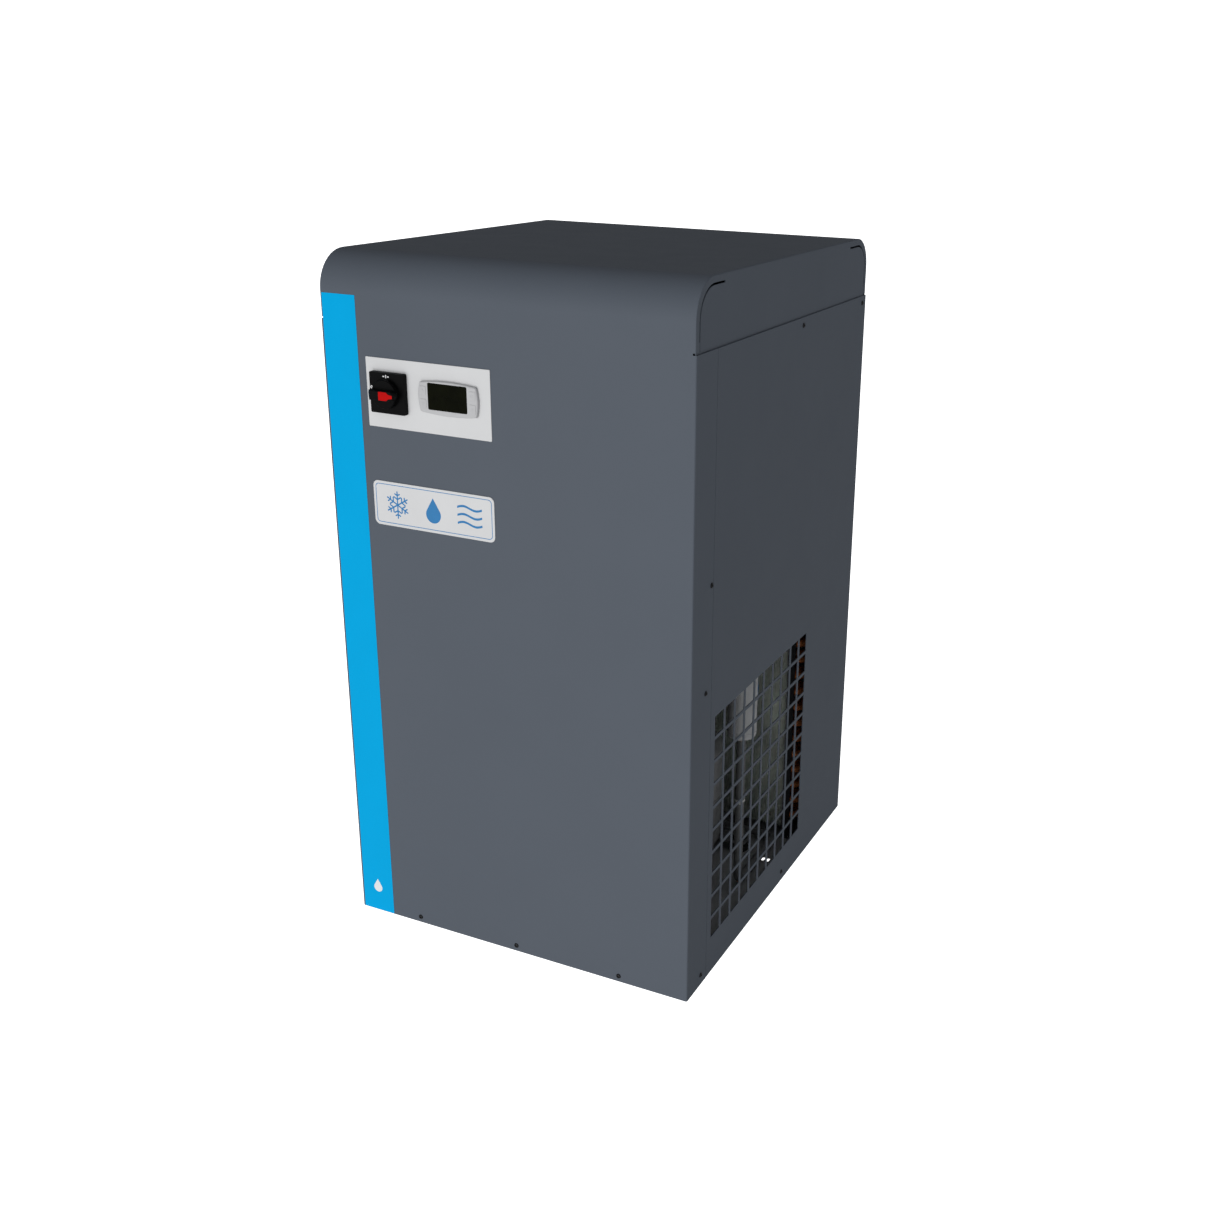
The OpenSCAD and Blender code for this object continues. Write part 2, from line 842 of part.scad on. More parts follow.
// A half bend from p to the point that lies across it along d, standing out along out
module half_bend(p, d, out, r) {
    bend = r / 2;
    c = p + bend * d;
    z = cross(d, out);
    multmatrix([
        [d.x, out.x, z.x, c.x],
        [d.y, out.y, z.y, c.y],
        [d.z, out.z, z.z, c.z],
        [0, 0, 0, 1]
    ])
    rotate_extrude(angle = 180) translate([bend, 0]) tube_section(coil_r, coil_wall);
}

// Serpentine tube: each level goes out in one row and back in the other
module condenser_tubes() {
    color(copper) {
        for (i = [0:top_level], y = row_y)
            along([-coil_end, y, level_z(i)], [1, 0, 0]) linear_extrude(2 * coil_end)
                tube_section(coil_r, coil_wall);
        for (i = [0:top_level])
            half_bend([coil_end, row_y[0], level_z(i)], [0, 1, 0], [1, 0, 0], row_pitch);
        for (i = [0:top_level - 1])
            half_bend([-coil_end, row_y[(i + top_level + 1) % 2 == 1 ? 0 : 1], level_z(i)],
                [0, 0, 1], [-1, 0, 0], coil_pitch);
    }
}

module condenser_end_plates() {
    color(zinc) for (s = [0, 1]) mirror([s, 0, 0]) {
        box([coil_hw, coil_y - 3.5, floor_z], [coil_hw + end_plate_t, coil_y + coil_depth + 3.5, shelf_z - base_t - 0.5]);
        box([coil_hw, coil_y - 3.5, floor_z], [coil_hw + 17, coil_y + coil_depth + 3.5, floor_z + end_plate_t]);
    }
    // Flange in front of the return bends, on the grille's side
    color(zinc) box([coil_hw, coil_y - 3.5, floor_z], [coil_hw + 17, coil_y - 2, shelf_z - base_t - 0.5]);
}

module fan_shroud() {
    a = [-coil_hw - 1, shroud_y, coil_z];
    b = [coil_hw + 1, shroud_plate, coil_top];
    wall = [end_plate_t, 0, end_plate_t];
    color(dark_steel) difference() {
        union() {
            difference() {
                box(a, b);
                box(a + wall - [0, 1, 0], b - wall - [0, end_plate_t, 0]);
            }
            rod_y([0, shroud_plate - end_plate_t, fan_z], ring_r + end_plate_t, ring_end - shroud_plate + end_plate_t);
        }
        rod_y([0, shroud_y - 1, fan_z], ring_r, 100);
    }
}

module fan_motor() {
    color("#3c3f44") difference() {
        union() {
            rod_y([0, motor_y, fan_z], motor_r, motor_end - motor_y);
            rod_y([0, motor_end - eps, fan_z], 12, 2.5);
            rod_y([0, motor_y - 3, fan_z], 16, 3 + eps);
        }
        rod_y([0, motor_end - 30, fan_z], shaft_r + running, 40);
    }
}

module fan_motor_bracket() {
    y1 = shroud_plate - end_plate_t - 0.2;
    color(zinc) difference() {
        union() {
            rod_y([0, y1 - 10, fan_z], motor_r + 4, 10);
            for (a = [45:90:315]) translate([0, 0, fan_z]) rotate([0, a, 0])
                box([motor_r + 1, y1 - 3, -6], [ring_r + 14, y1, 6]);
        }
        rod_y([0, y1 - 20, fan_z], motor_r + 0.1, 40);
    }
}

module fan_rotor() {
    color("#22252a") {
        rod_y([0, hub_y, fan_z], hub_r, hub_end - hub_y);
        rod_y([0, motor_end - 28, fan_z], shaft_r, hub_y - motor_end + 28 + eps);
        intersection() {
            for (i = [0:fan_blades - 1]) translate([0, blade_y, fan_z]) rotate([0, i * 360 / fan_blades, 0])
                translate([hub_r - 1, 0, 0]) rotate([fan_tilt, 0, 0]) translate([0, -1, -33])
                    cube([fan_tip_r, 2, 66]);
            rod_y([0, hub_y - 10, fan_z], fan_tip_r, 50);
        }
    }
}

// Wire guard: concentric rings on crossed spokes
module fan_guard() {
    wire = 1.5;
    color("#2a2c30") translate([0, 0, fan_z]) {
        for (r = [34:20:114]) translate([0, yr + 4.1, 0]) rotate([90, 0, 0])
            rotate_extrude() translate([r, 0]) circle(r = wire);
        translate([0, yr + 1.6, 0]) rotate([90, 0, 0]) rotate_extrude() translate([136, 0]) circle(r = wire);
        for (a = [0:60:120]) rotate([0, a, 0]) translate([-136, yr + 1.6, 0]) rotate([0, 90, 0])
            cylinder(r = wire, h = 272);
        rod_y([0, yr + 0.4, 0], 16, 4);
    }
}

// ---------- refrigerant circuit ----------

module filter_drier() {
    neck = 14;
    foot = 4;
    color(light_grey) translate([drier_x, drier_y, 0]) {
        translate([0, 0, drier_z0 + foot]) cylinder(r = drier_r, h = drier_z1 - drier_z0 - neck - foot);
        translate([0, 0, drier_z0]) cylinder(r1 = drier_r - foot, r2 = drier_r, h = foot);
        translate([0, 0, drier_z1 - neck]) cylinder(r1 = drier_r, r2 = 5, h = neck);
        translate([0, 0, drier_z0 - 10]) cylinder(r = 5, h = 10.1);
        translate([0, 0, drier_z1 - eps]) cylinder(r = 4, h = 10);
    }
}

module capillary_tube() {
    r = 1.5;
    z = 440;
    coil = 20;
    start = drier_z1 + 10;
    color(copper) {
        tube_path([
            [drier_x, drier_y, start], [drier_x, drier_y, z],
            [40, drier_y, z], [40, core_y0 - 0.2, z]
        ], r, 8, 0);
        for (i = [0:3]) translate([90 + i * 4, drier_y, z - coil]) rotate([0, 90, 0])
            rotate_extrude() translate([coil, 0]) circle(r = r);
    }
}

module hot_gas_valve() {
    z0 = 378;
    color(copper) translate([hot_x, hot_y, level_z(top_level) + line_r + 0.1])
        cylinder(r = 3, h = z0 - level_z(top_level) - line_r);
    color("#b79a4e") {
        translate([hot_x, hot_y, z0]) cylinder(r = 13, h = 40);
        translate([hot_x, hot_y, z0 + 40 - eps]) cylinder(r = 9, h = 14, $fn = 6);
    }
    color(copper) tube_path([
        [hot_x, hot_y + 12, z0 + 24], [hot_x, 22, z0 + 24],
        [-105, 22, z0 + 24], [-105, core_y0 - 0.2, z0 + 24]
    ], 3, 8, 0);
}

module discharge_line() {
    z = level_z(top_level);
    color(copper) tube_path([
        [comp_x - comp_r - 1, comp_y, 150], [-100, comp_y, 150], [-100, comp_y, z],
        [-200.5, comp_y, z], [-200.5, row_y[0], z], [-coil_end - 0.1, row_y[0], z]
    ], line_r, 9);
}

module liquid_line() {
    z = 30;
    color(copper) tube_path([
        [-coil_end - 0.1, row_y[1], level_z(0)], [-200.5, row_y[1], level_z(0)], [-200.5, row_y[1], z],
        [-200.5, 80, z], [drier_x, 80, z], [drier_x, drier_y, z], [drier_x, drier_y, drier_z0 - 10]
    ], line_r, 9);
}

module suction_line() {
    x = comp_x - 12;
    y = comp_y - 8;
    color(copper) tube_path([
        [-60, core_y0 - 0.2, 500], [-60, y, 500], [-60, y, 262], [x, y, 262], [x, y, comp_top - 4]
    ], suction_r - 0.1, 14);
}

// ---------- air exchanger ----------

module exchanger_core() {
    channels = 6;
    pitch = (core_z1 - core_z0) / channels;
    color(aluminium) difference() {
        union() {
            box([core_x0, core_y0, core_z0], [core_x1, core_y1, core_z1]);
            rod_x([core_x1 - eps, drain_y, drain_z], 8, 8);
        }
        for (i = [0:channels - 1], j = [0, 1])
            box([core_x0 - 1, core_y0 + 8 + j * 39, core_z0 + i * pitch + 9],
                [core_x1 - 14, core_y0 + 43 + j * 39, core_z0 + (i + 1) * pitch - 9]);
        rod_x([core_x1 - 6, drain_y, drain_z], 5, 20);
    }
}

// Space taken out of the insulation: the core with clearance, and every pipe that reaches it
module insulation_cavity() {
    c = 1;
    box([core_x0 - c, core_y0 - c, core_z0 - c], [core_x1 + c, core_y1 + c, core_z1 + c]);
    rod_x([core_x1, drain_y, drain_z], 9, 60);
    rod_y([40, ins_y0 - 10, 440], 2.5, 60);
    rod_y([-60, ins_y0 - 10, 500], suction_r + 1, 60);
    rod_y([-105, ins_y0 - 10, 402], 4, 60);
    for (x = port_x) translate([x, port_y, core_z1 - 10]) cylinder(r = pipe_r + 1, h = 80);
}

module insulation_lower() {
    color("#2e3134") difference() {
        box([ins_x0, ins_y0, shelf_z + 0.2], [ins_x1, ins_y1, ins_split]);
        insulation_cavity();
    }
}

module insulation_upper() {
    color("#2e3134") difference() {
        box([ins_x0, ins_y0, ins_split + 0.2], [ins_x1, ins_y1, ins_z1]);
        insulation_cavity();
    }
}

// An air pipe from the core's top to a tapped socket in the rear panel
module air_pipe(x) {
    socket = port_end - port_depth - 6;
    tube_path([[x, port_y, core_z1 + 0.2], [x, port_y, port_z], [x, socket + eps, port_z]], pipe_r, 24, pipe_wall);
    difference() {
        union() {
            rod_y([x, socket, port_z], socket_r, port_end - socket);
            translate([x, yr + 4, port_z]) rotate([-90, 30, 0]) cylinder(r = 20.5, h = 12, $fn = 6);
        }
        rod_y([x, port_end - port_depth, port_z], port_bore_r, port_depth + 1);
        rod_y([x, socket - 1, port_z], pipe_r - pipe_wall - 1, 40);
    }
}

module air_inlet_pipe() {
    color(aluminium) air_pipe(port_x[0]);
}

module air_outlet_pipe() {
    color(aluminium) air_pipe(port_x[1]);
}

// ---------- condensate drain ----------

module drain_isolating_valve() {
    color("#b79a4e") difference() {
        union() {
            rod_x([core_x1 + 8.2, drain_y, drain_z], 8, 66);
            rod_x([valve_x - 12, drain_y, drain_z], 13, 24);
            translate([valve_x - 20, drain_y, drain_z]) rotate([0, 90, 0]) cylinder(r = 12, h = 9, $fn = 6);
            translate([valve_x + 11, drain_y, drain_z]) rotate([0, 90, 0]) cylinder(r = 12, h = 9, $fn = 6);
            translate([valve_x, drain_y, drain_z]) cylinder(r = 7, h = lever_z - drain_z - 0.3);
        }
        rod_x([core_x1, drain_y, drain_z], 5, 120);
        translate([valve_x, drain_y, lever_z - 9]) cylinder(r = 3 + running, h = 20);
    }
}

module drain_valve_lever() {
    color("#c8281e") {
        translate([valve_x, drain_y, lever_z - 8.5]) cylinder(r = 3, h = 9);
        translate([valve_x, drain_y, lever_z]) cylinder(r = 6, h = 3);
        box([valve_x, drain_y - 4.5, lever_z], [valve_x + 36, drain_y + 4.5, lever_z + 2.5]);
    }
}

module drain_solenoid_valve() {
    y = drain_y + 52;
    color("#b79a4e") {
        rod_y([drain_x, y - 16, drain_z], 9, 32);
        translate([drain_x, y, drain_z]) cylinder(r = 6, h = 52);
    }
    color("#15171a") difference() {
        box([drain_x - 17, y - 14, drain_z + 14], [drain_x + 15, y + 14, drain_z + 46]);
        translate([drain_x, y, drain_z]) cylinder(r = 6, h = 60);
    }
    color("#15171a") difference() {
        translate([drain_x, y, drain_z + 52]) cylinder(r = 9, h = 8);
        translate([drain_x, y, drain_z + 52]) cylinder(r = 4.4, h = 9);
    }
}

module drain_test_button() {
    color("#c8281e") translate([drain_x, drain_y + 52, drain_z + 55]) cylinder(r = 4, h = 8);
}

module drain_pipe() {
    color(copper) tube_path([
        [valve_x + 20.2, drain_y, drain_z], [drain_x, drain_y, drain_z], [drain_x, drain_y + 35.8, drain_z]
    ], 6, 12);
    color(copper) rod_y([drain_x, drain_y + 68.2, drain_z], 5, yr - 17 - drain_y - 68.4);
}

module drain_outlet_fitting() {
    color("#e8e8e6") difference() {
        union() {
            rod_y([drain_x, yr - 17, drain_z], 7, 30);
            translate([drain_x, yr, drain_z]) rotate([-90, 0, 0]) cylinder(r = 10.5, h = 5, $fn = 6);
            translate([drain_x, yr - sheet - 4.3, drain_z]) rotate([-90, 0, 0]) cylinder(r = 10.5, h = 4, $fn = 6);
            rod_y([drain_x, yr + 5, drain_z], 8.5, 13);
        }
        rod_y([drain_x, yr + 3, drain_z], 4.05, 20);
        rod_y([drain_x, yr - 20, drain_z], 3, 60);
    }
}

base_pan();
hood();
right_side_panel();
left_side_panel();
rear_panel();
component_shelf();
hood_screws();
side_screws();
rear_screws();
colour_strip();
control_fascia();
badge_plate();
mains_switch_plate();
mains_switch_body();
mains_switch_spindle();
mains_switch_knob();
mains_switch_pointer();
controller_bezel();
controller_window();
controller_body();
key_upper_left();
key_lower_left();
key_upper_right();
key_lower_right();
electrical_box();
electrical_cover();
terminal_block();
cable_gland();
compressor_shell_lower();
compressor_shell_upper();
compressor_pump();
compressor_feet();
compressor_grommets();
compressor_bolts();
compressor_terminal_cover();
condenser_fins();
condenser_tubes();
condenser_end_plates();
fan_shroud();
fan_motor();
fan_motor_bracket();
fan_rotor();
fan_guard();
filter_drier();
capillary_tube();
hot_gas_valve();
discharge_line();
liquid_line();
suction_line();
exchanger_core();
insulation_lower();
insulation_upper();
air_inlet_pipe();
air_outlet_pipe();
drain_isolating_valve();
drain_valve_lever();
drain_solenoid_valve();
drain_test_button();
drain_pipe();
drain_outlet_fitting();
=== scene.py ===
"""Looks of a refrigerated compressed-air dryer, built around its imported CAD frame.

Shapes are drawn in millimetres in the frame's own axes: the front faces -Y, the air grille is on +X, and the
floor is at z 0. They turn into metres when piece() joins them."""

from math import acos, cos, pi, radians, sin, tan

import bmesh
import bpy
from mathutils import Matrix, Vector


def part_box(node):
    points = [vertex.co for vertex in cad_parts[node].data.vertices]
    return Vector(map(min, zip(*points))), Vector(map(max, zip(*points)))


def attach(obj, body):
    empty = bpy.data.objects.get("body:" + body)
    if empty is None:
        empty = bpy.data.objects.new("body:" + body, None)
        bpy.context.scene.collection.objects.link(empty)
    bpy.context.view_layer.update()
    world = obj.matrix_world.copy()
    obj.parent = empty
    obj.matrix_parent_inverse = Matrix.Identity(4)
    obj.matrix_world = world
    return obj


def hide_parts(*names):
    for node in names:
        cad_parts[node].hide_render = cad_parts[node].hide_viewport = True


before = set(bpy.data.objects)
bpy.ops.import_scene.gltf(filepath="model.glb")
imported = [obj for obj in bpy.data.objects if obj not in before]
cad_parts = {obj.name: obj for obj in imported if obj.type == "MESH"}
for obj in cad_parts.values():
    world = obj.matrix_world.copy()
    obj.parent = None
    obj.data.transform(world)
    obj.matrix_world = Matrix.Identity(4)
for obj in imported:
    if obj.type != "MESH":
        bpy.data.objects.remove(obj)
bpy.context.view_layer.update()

MM = 0.001
SHEET = 1.2


def span(node):
    """Lowest and highest corner of a CAD node, in millimetres."""
    lo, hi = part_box(node)
    return lo / MM, hi / MM


def centre_of(node):
    lo, hi = span(node)
    return (lo + hi) / 2


# ---------- shapes ----------

FACES = {
    "front": ((1, 0, 0), (0, 0, 1)),
    "rear": ((-1, 0, 0), (0, 0, 1)),
    "right": ((0, 1, 0), (0, 0, 1)),
    "left": ((0, -1, 0), (0, 0, 1)),
    "top": ((1, 0, 0), (0, 1, 0)),
    "under": ((1, 0, 0), (0, -1, 0)),
}


def on(face, origin=(0, 0, 0), turn=0):
    """Placement at origin whose z axis stands out of that face of the cabinet, turned by degrees about it."""
    x, y = (Vector(a) for a in FACES[face])
    place = Matrix((x, y, x.cross(y))).transposed().to_4x4()
    place.translation = Vector(origin)
    return place @ Matrix.Rotation(radians(turn), 4, "Z")


def aim(origin, way):
    """Placement at origin whose z axis points that way."""
    place = Vector(way).to_track_quat("Z", "Y").to_matrix().to_4x4()
    place.translation = Vector(origin)
    return place


def put(shape, place):
    """Moves a shape to a placement."""
    bmesh.ops.transform(shape, matrix=place, verts=shape.verts)
    return shape


def shift(x, y, z):
    """Placement moved along the axes."""
    return Matrix.Translation((x, y, z))


def spun(i, count):
    """Placement turned about z by i of count equal steps."""
    return Matrix.Rotation(2 * pi * i / count, 4, "Z")


def clean(shape):
    bmesh.ops.remove_doubles(shape, verts=shape.verts, dist=1e-4)
    bmesh.ops.recalc_face_normals(shape, faces=shape.faces)
    return shape


def fillet(points, radius, steps=4, closed=True):
    """Rounds the corners of a line of points. radius is one number, or one for each point."""
    points = [Vector(p) for p in points]
    radii = list(radius) if isinstance(radius, (list, tuple)) else [radius] * len(points)
    if not closed:
        radii[0] = radii[-1] = 0
    line = []
    for i, p in enumerate(points):
        if not radii[i]:
            line.append(p)
            continue
        back = (points[i - 1] - p).normalized()
        ahead = (points[(i + 1) % len(points)] - p).normalized()
        half = back.angle(ahead) / 2
        turn = pi - 2 * half
        if turn < 0.01:
            line.append(p)
            continue
        centre = p + (back + ahead).normalized() * radii[i] / sin(half)
        start = p + back * radii[i] / tan(half) - centre
        end = p + ahead * radii[i] / tan(half) - centre
        for k in range(steps + 1):
            t = k / steps
            line.append(centre + (start * sin((1 - t) * turn) + end * sin(t * turn)) / sin(turn))
    return line


def rectangle(w, h, r=0, at=(0, 0), steps=4):
    """Outline of a centred rectangle with round corners."""
    x, y = w / 2, h / 2
    corners = [(at[0] + sx * x, at[1] + sy * y) for sx, sy in ((-1, -1), (1, -1), (1, 1), (-1, 1))]
    return fillet(corners, r, steps) if r else [Vector(c) for c in corners]


def ring(r, at=(0, 0), steps=32, start=0.0):
    """Outline of a circle, or of a polygon when steps is small."""
    return [
        Vector((at[0] + r * cos(start + 2 * pi * i / steps), at[1] + r * sin(start + 2 * pi * i / steps)))
        for i in range(steps)
    ]


def plate(outline, thickness, edge=0.2, holes=(), steps=2):
    """Flat sheet between z 0 and its thickness, with rounded edges all round and round its holes."""
    curve = bpy.data.curves.new("outline", "CURVE")
    curve.dimensions = "2D"
    curve.fill_mode = "BOTH"
    curve.extrude = thickness / 2 - edge
    curve.bevel_depth = edge
    curve.bevel_resolution = steps - 1
    curve.offset = -edge
    for points in (outline, *holes):
        spline = curve.splines.new("POLY")
        spline.points.add(len(points) - 1)
        for knot, p in zip(spline.points, points):
            knot.co = (p[0], p[1], 0, 1)
        spline.use_cyclic_u = True
    drawn = bpy.data.objects.new("outline", curve)
    shape = bmesh.new()
    shape.from_mesh(drawn.to_mesh())
    drawn.to_mesh_clear()
    bpy.data.objects.remove(drawn)
    bpy.data.curves.remove(curve)
    bmesh.ops.translate(shape, verts=shape.verts, vec=(0, 0, thickness / 2))
    return clean(shape)


def lathe(profile, steps=48):
    """Solid turned about z from (radius, z) points."""
    shape = bmesh.new()
    verts = [shape.verts.new((p[0], 0, p[1])) for p in profile]
    edges = [shape.edges.new(pair) for pair in zip(verts, verts[1:])]
    bmesh.ops.spin(shape, geom=verts + edges, axis=(0, 0, 1), cent=(0, 0, 0), steps=steps, angle=2 * pi)
    return clean(shape)


def loop(section, steps=48):
    """Ring turned about z from a closed section."""
    return lathe([*section, section[0]], steps)


def turned(corners, radii, steps, sides=48):
    """Solid turned about z from a line of corners, each rounded by its radius."""
    return lathe(fillet(corners, radii, steps, closed=False), sides)


def drum(r, h, edge=0.5, steps=48, inner=0.0):
    """Cylinder, or a bush where it has an inner radius, with rounded rims."""
    corners = [(inner, 0), (r, 0), (r, h), (inner, h)]
    if inner:
        line = fillet(corners, edge, 3)
        return loop(line, steps)
    return turned(corners, edge, 3, steps)


def hoop(r, wire, steps=64, sides=12):
    """Closed ring of round wire."""
    section = ring(wire, (r, 0), sides)
    return loop(section, steps)


def block(lo, hi, edge=0.5, steps=2):
    """Box between two corners, with rounded edges."""
    lo, hi = Vector(lo), Vector(hi)
    shape = bmesh.new()
    bmesh.ops.create_cube(shape, size=1)
    for v in shape.verts:
        v.co = Vector([(a + b) / 2 + c * (b - a) for a, b, c in zip(lo, hi, v.co)])
    bmesh.ops.bevel(shape, geom=shape.edges[:], offset=edge, segments=steps, profile=0.5, affect="EDGES")
    return shape


def tube(points, r, bend=0.0, sides=20, bend_steps=6):
    """Round bar along a line of points, with each corner bent at a radius. r may change along the points."""
    path = fillet(points, bend, bend_steps, closed=False) if bend else [Vector(p) for p in points]
    radii = r if isinstance(r, (list, tuple)) else [r] * len(path)
    shape = bmesh.new()
    side = (path[1] - path[0]).orthogonal().normalized()
    rings = []
    for i, p in enumerate(path):
        ahead = (path[min(i + 1, len(path) - 1)] - path[max(i - 1, 0)]).normalized()
        side = (side - ahead * side.dot(ahead)).normalized()
        up = ahead.cross(side)
        turns = [2 * pi * k / sides for k in range(sides)]
        rings.append([shape.verts.new(p + radii[i] * (cos(a) * side + sin(a) * up)) for a in turns])
    for a, b in zip(rings, rings[1:]):
        for k in range(sides):
            shape.faces.new((a[k], a[(k + 1) % sides], b[(k + 1) % sides], b[k]))
    shape.faces.new(rings[0][::-1])
    shape.faces.new(rings[-1])
    return clean(shape)


def mesh_of(shape):
    mesh = bpy.data.meshes.new("shape")
    shape.to_mesh(mesh)
    shape.free()
    return mesh


def combine(base, tools, operation="DIFFERENCE"):
    """Boolean of a shape with others."""
    objects = [bpy.data.objects.new("part", mesh_of(s)) for s in (base, *tools)]
    for ob in objects:
        bpy.context.scene.collection.objects.link(ob)
    for tool in objects[1:]:
        step = objects[0].modifiers.new("step", "BOOLEAN")
        step.operation = operation
        step.object = tool
        step.solver = "EXACT"
    shape = bmesh.new()
    shape.from_object(objects[0], bpy.context.evaluated_depsgraph_get())
    for ob in objects:
        mesh = ob.data
        bpy.data.objects.remove(ob)
        bpy.data.meshes.remove(mesh)
    bmesh.ops.remove_doubles(shape, verts=shape.verts, dist=1e-4)
    return shape


def copies(shape, places):
    """The same shape at several placements, as one shape."""
    mesh = mesh_of(shape)
    joined = bmesh.new()
    for place in places:
        start = len(joined.verts)
        joined.from_mesh(mesh)
        joined.verts.ensure_lookup_table()
        bmesh.ops.transform(joined, matrix=place, verts=joined.verts[start:])
    bpy.data.meshes.remove(mesh)
    return joined


def piece(name, parts, replaces=(), smooth=38, body="cabinet"):
    """Joins (shape, material) pairs into one object in metres that rides on a body."""
    joined = bmesh.new()
    materials = []
    for shape, material in parts:
        if material not in materials:
            materials.append(material)
        for face in shape.faces:
            face.material_index = materials.index(material)
            face.smooth = True
        mesh = mesh_of(shape)
        joined.from_mesh(mesh)
        bpy.data.meshes.remove(mesh)
    bmesh.ops.scale(joined, vec=(MM, MM, MM), verts=joined.verts)
    mesh = mesh_of(joined)
    mesh.name = name
    mesh.set_sharp_from_angle(angle=radians(smooth))
    for material in materials:
        mesh.materials.append(material)
    ob = bpy.data.objects.new(name, mesh)
    bpy.context.scene.collection.objects.link(ob)
    normals = ob.modifiers.new("normals", "WEIGHTED_NORMAL")
    normals.keep_sharp = True
    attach(ob, body)
    if replaces:
        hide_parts(*replaces)
    return ob


# ---------- materials ----------


def material(
    name, color, rough=0.5, metal=0.0, mottle=0.06, mottle_mm=60, grain=0.0, grain_mm=0.5, dents=0.0,
             dents_mm=3.0,
    stretch=(1, 1, 1), cells=0.0, cells_mm=8.0, rough_swing=0.06, coat=0.0, specular=0.5,
):
    """Surface with a mottled colour, uneven gloss, and up to two sizes of relief, each given by its height and
    size in millimetres. stretch draws the grain out, as brushing does, and cells adds crystal or foam cells."""
    made = bpy.data.materials.new(name)
    made.use_nodes = True
    nodes, links = made.node_tree.nodes, made.node_tree.links
    shader = nodes["Principled BSDF"]
    shader.inputs["Metallic"].default_value = metal
    shader.inputs["Coat Weight"].default_value = coat
    shader.inputs["Coat Roughness"].default_value = 0.12
    shader.inputs["Specular IOR Level"].default_value = specular
    where = nodes.new("ShaderNodeTexCoord").outputs["Object"]
    drawn = nodes.new("ShaderNodeMapping")
    drawn.inputs["Scale"].default_value = stretch
    links.new(where, drawn.inputs["Vector"])

    def noise(size_mm, detail, source):
        node = nodes.new("ShaderNodeTexNoise")
        node.inputs["Scale"].default_value = 1 / (size_mm * MM)
        node.inputs["Detail"].default_value = detail
        links.new(source, node.inputs["Vector"])
        return node.outputs["Fac"]

    def ranged(value, low, high):
        node = nodes.new("ShaderNodeMapRange")
        node.inputs["From Min"].default_value = 0.3
        node.inputs["From Max"].default_value = 0.7
        node.inputs["To Min"].default_value = low
        node.inputs["To Max"].default_value = high
        links.new(value, node.inputs["Value"])
        return node.outputs["Result"]

    patches = noise(mottle_mm, 3, where)
    if cells:
        crystal = nodes.new("ShaderNodeTexVoronoi")
        crystal.inputs["Scale"].default_value = 1 / (cells_mm * MM)
        links.new(where, crystal.inputs["Vector"])
        blend = nodes.new("ShaderNodeMix")
        blend.inputs["Factor"].default_value = cells
        links.new(patches, blend.inputs["A"])
        links.new(crystal.outputs["Color"], blend.inputs["B"])
        patches = blend.outputs["Result"]
    tint = nodes.new("ShaderNodeMix")
    tint.data_type = "RGBA"
    links.new(ranged(patches, 0, 1), tint.inputs["Factor"])
    tint.inputs["A"].default_value = (*[c * (1 - mottle) for c in color], 1)
    tint.inputs["B"].default_value = (*[min(c * (1 + mottle), 1) for c in color], 1)
    links.new(tint.outputs["Result"], shader.inputs["Base Color"])
    links.new(ranged(noise(mottle_mm / 3, 4, drawn.outputs["Vector"]), rough - rough_swing,
                     rough + rough_swing),
              shader.inputs["Roughness"])
    normal = None
    for height, size in ((dents, dents_mm), (grain, grain_mm)):
        if not height:
            continue
        bump = nodes.new("ShaderNodeBump")
        bump.inputs["Strength"].default_value = 1.0
        bump.inputs["Distance"].default_value = height * MM
        links.new(noise(size, 2, drawn.outputs["Vector"]), bump.inputs["Height"])
        if normal:
            links.new(normal, bump.inputs["Normal"])
        normal = bump.outputs["Normal"]
    if normal:
        links.new(normal, shader.inputs["Normal"])
    return made


POWDER = material("powder_coat", (0.09, 0.104, 0.126), 0.6, mottle=0.015, mottle_mm=120, grain=0.02,
                  grain_mm=0.9,
                  rough_swing=0.02, specular=0.12)
PAN = material("pan_paint", (0.15, 0.155, 0.16), 0.55, mottle=0.04, grain=0.02, grain_mm=1.0, specular=0.25)
GALVANISED = material("galvanised", (0.42, 0.425, 0.43), 0.5, 0.2, mottle=0.06, cells=0.3, cells_mm=9,
                      grain=0.004)
ZINC = material("zinc_plate", (0.5, 0.51, 0.52), 0.36, 0.9, mottle=0.14, cells=0.6, cells_mm=7, grain=0.004)
BLACK_STEEL = material("black_steel", (0.028, 0.028, 0.03), 0.38, 0.7, mottle_mm=4, grain=0.01, grain_mm=0.4)
BLUE = material("blue_film", (0.0, 0.355, 0.69), 0.5, mottle=0.015, grain=0.004, grain_mm=1.2, specular=0.03)
WHITE = material("white_film", (0.62, 0.62, 0.622), 0.5, mottle=0.02, grain=0.006, grain_mm=0.8, specular=0.2)
PRINT_BLUE = material("print_blue", (0.004, 0.17, 0.42), 0.45, mottle=0.03, mottle_mm=8)
PRINT_WHITE = material("print_white", (0.74, 0.74, 0.74), 0.5, mottle=0.02, mottle_mm=8)
BLACK = material("black_plastic", (0.0035, 0.0035, 0.0037), 0.5, mottle_mm=15, grain=0.02, grain_mm=0.35,
                 specular=0.06)
RED = material("red_plastic", (0.46, 0.0015, 0.0015), 0.4, mottle=0.05, mottle_mm=10, grain=0.004,
               specular=0.06)
GREY = material("grey_plastic", (0.475, 0.475, 0.48), 0.5, mottle=0.03, mottle_mm=20, grain=0.012,
                grain_mm=0.4,
                specular=0.3)
WINDOW = material("dark_window", (0.003, 0.0035, 0.0008), 0.22, mottle=0.3, mottle_mm=12, rough_swing=0.03,
                  specular=0.07)
HOUSING = material("dark_housing", (0.08, 0.082, 0.085), 0.55, grain=0.03, grain_mm=0.5)
BOX = material("box_paint", (0.2, 0.21, 0.22), 0.5, grain=0.02, grain_mm=0.8)
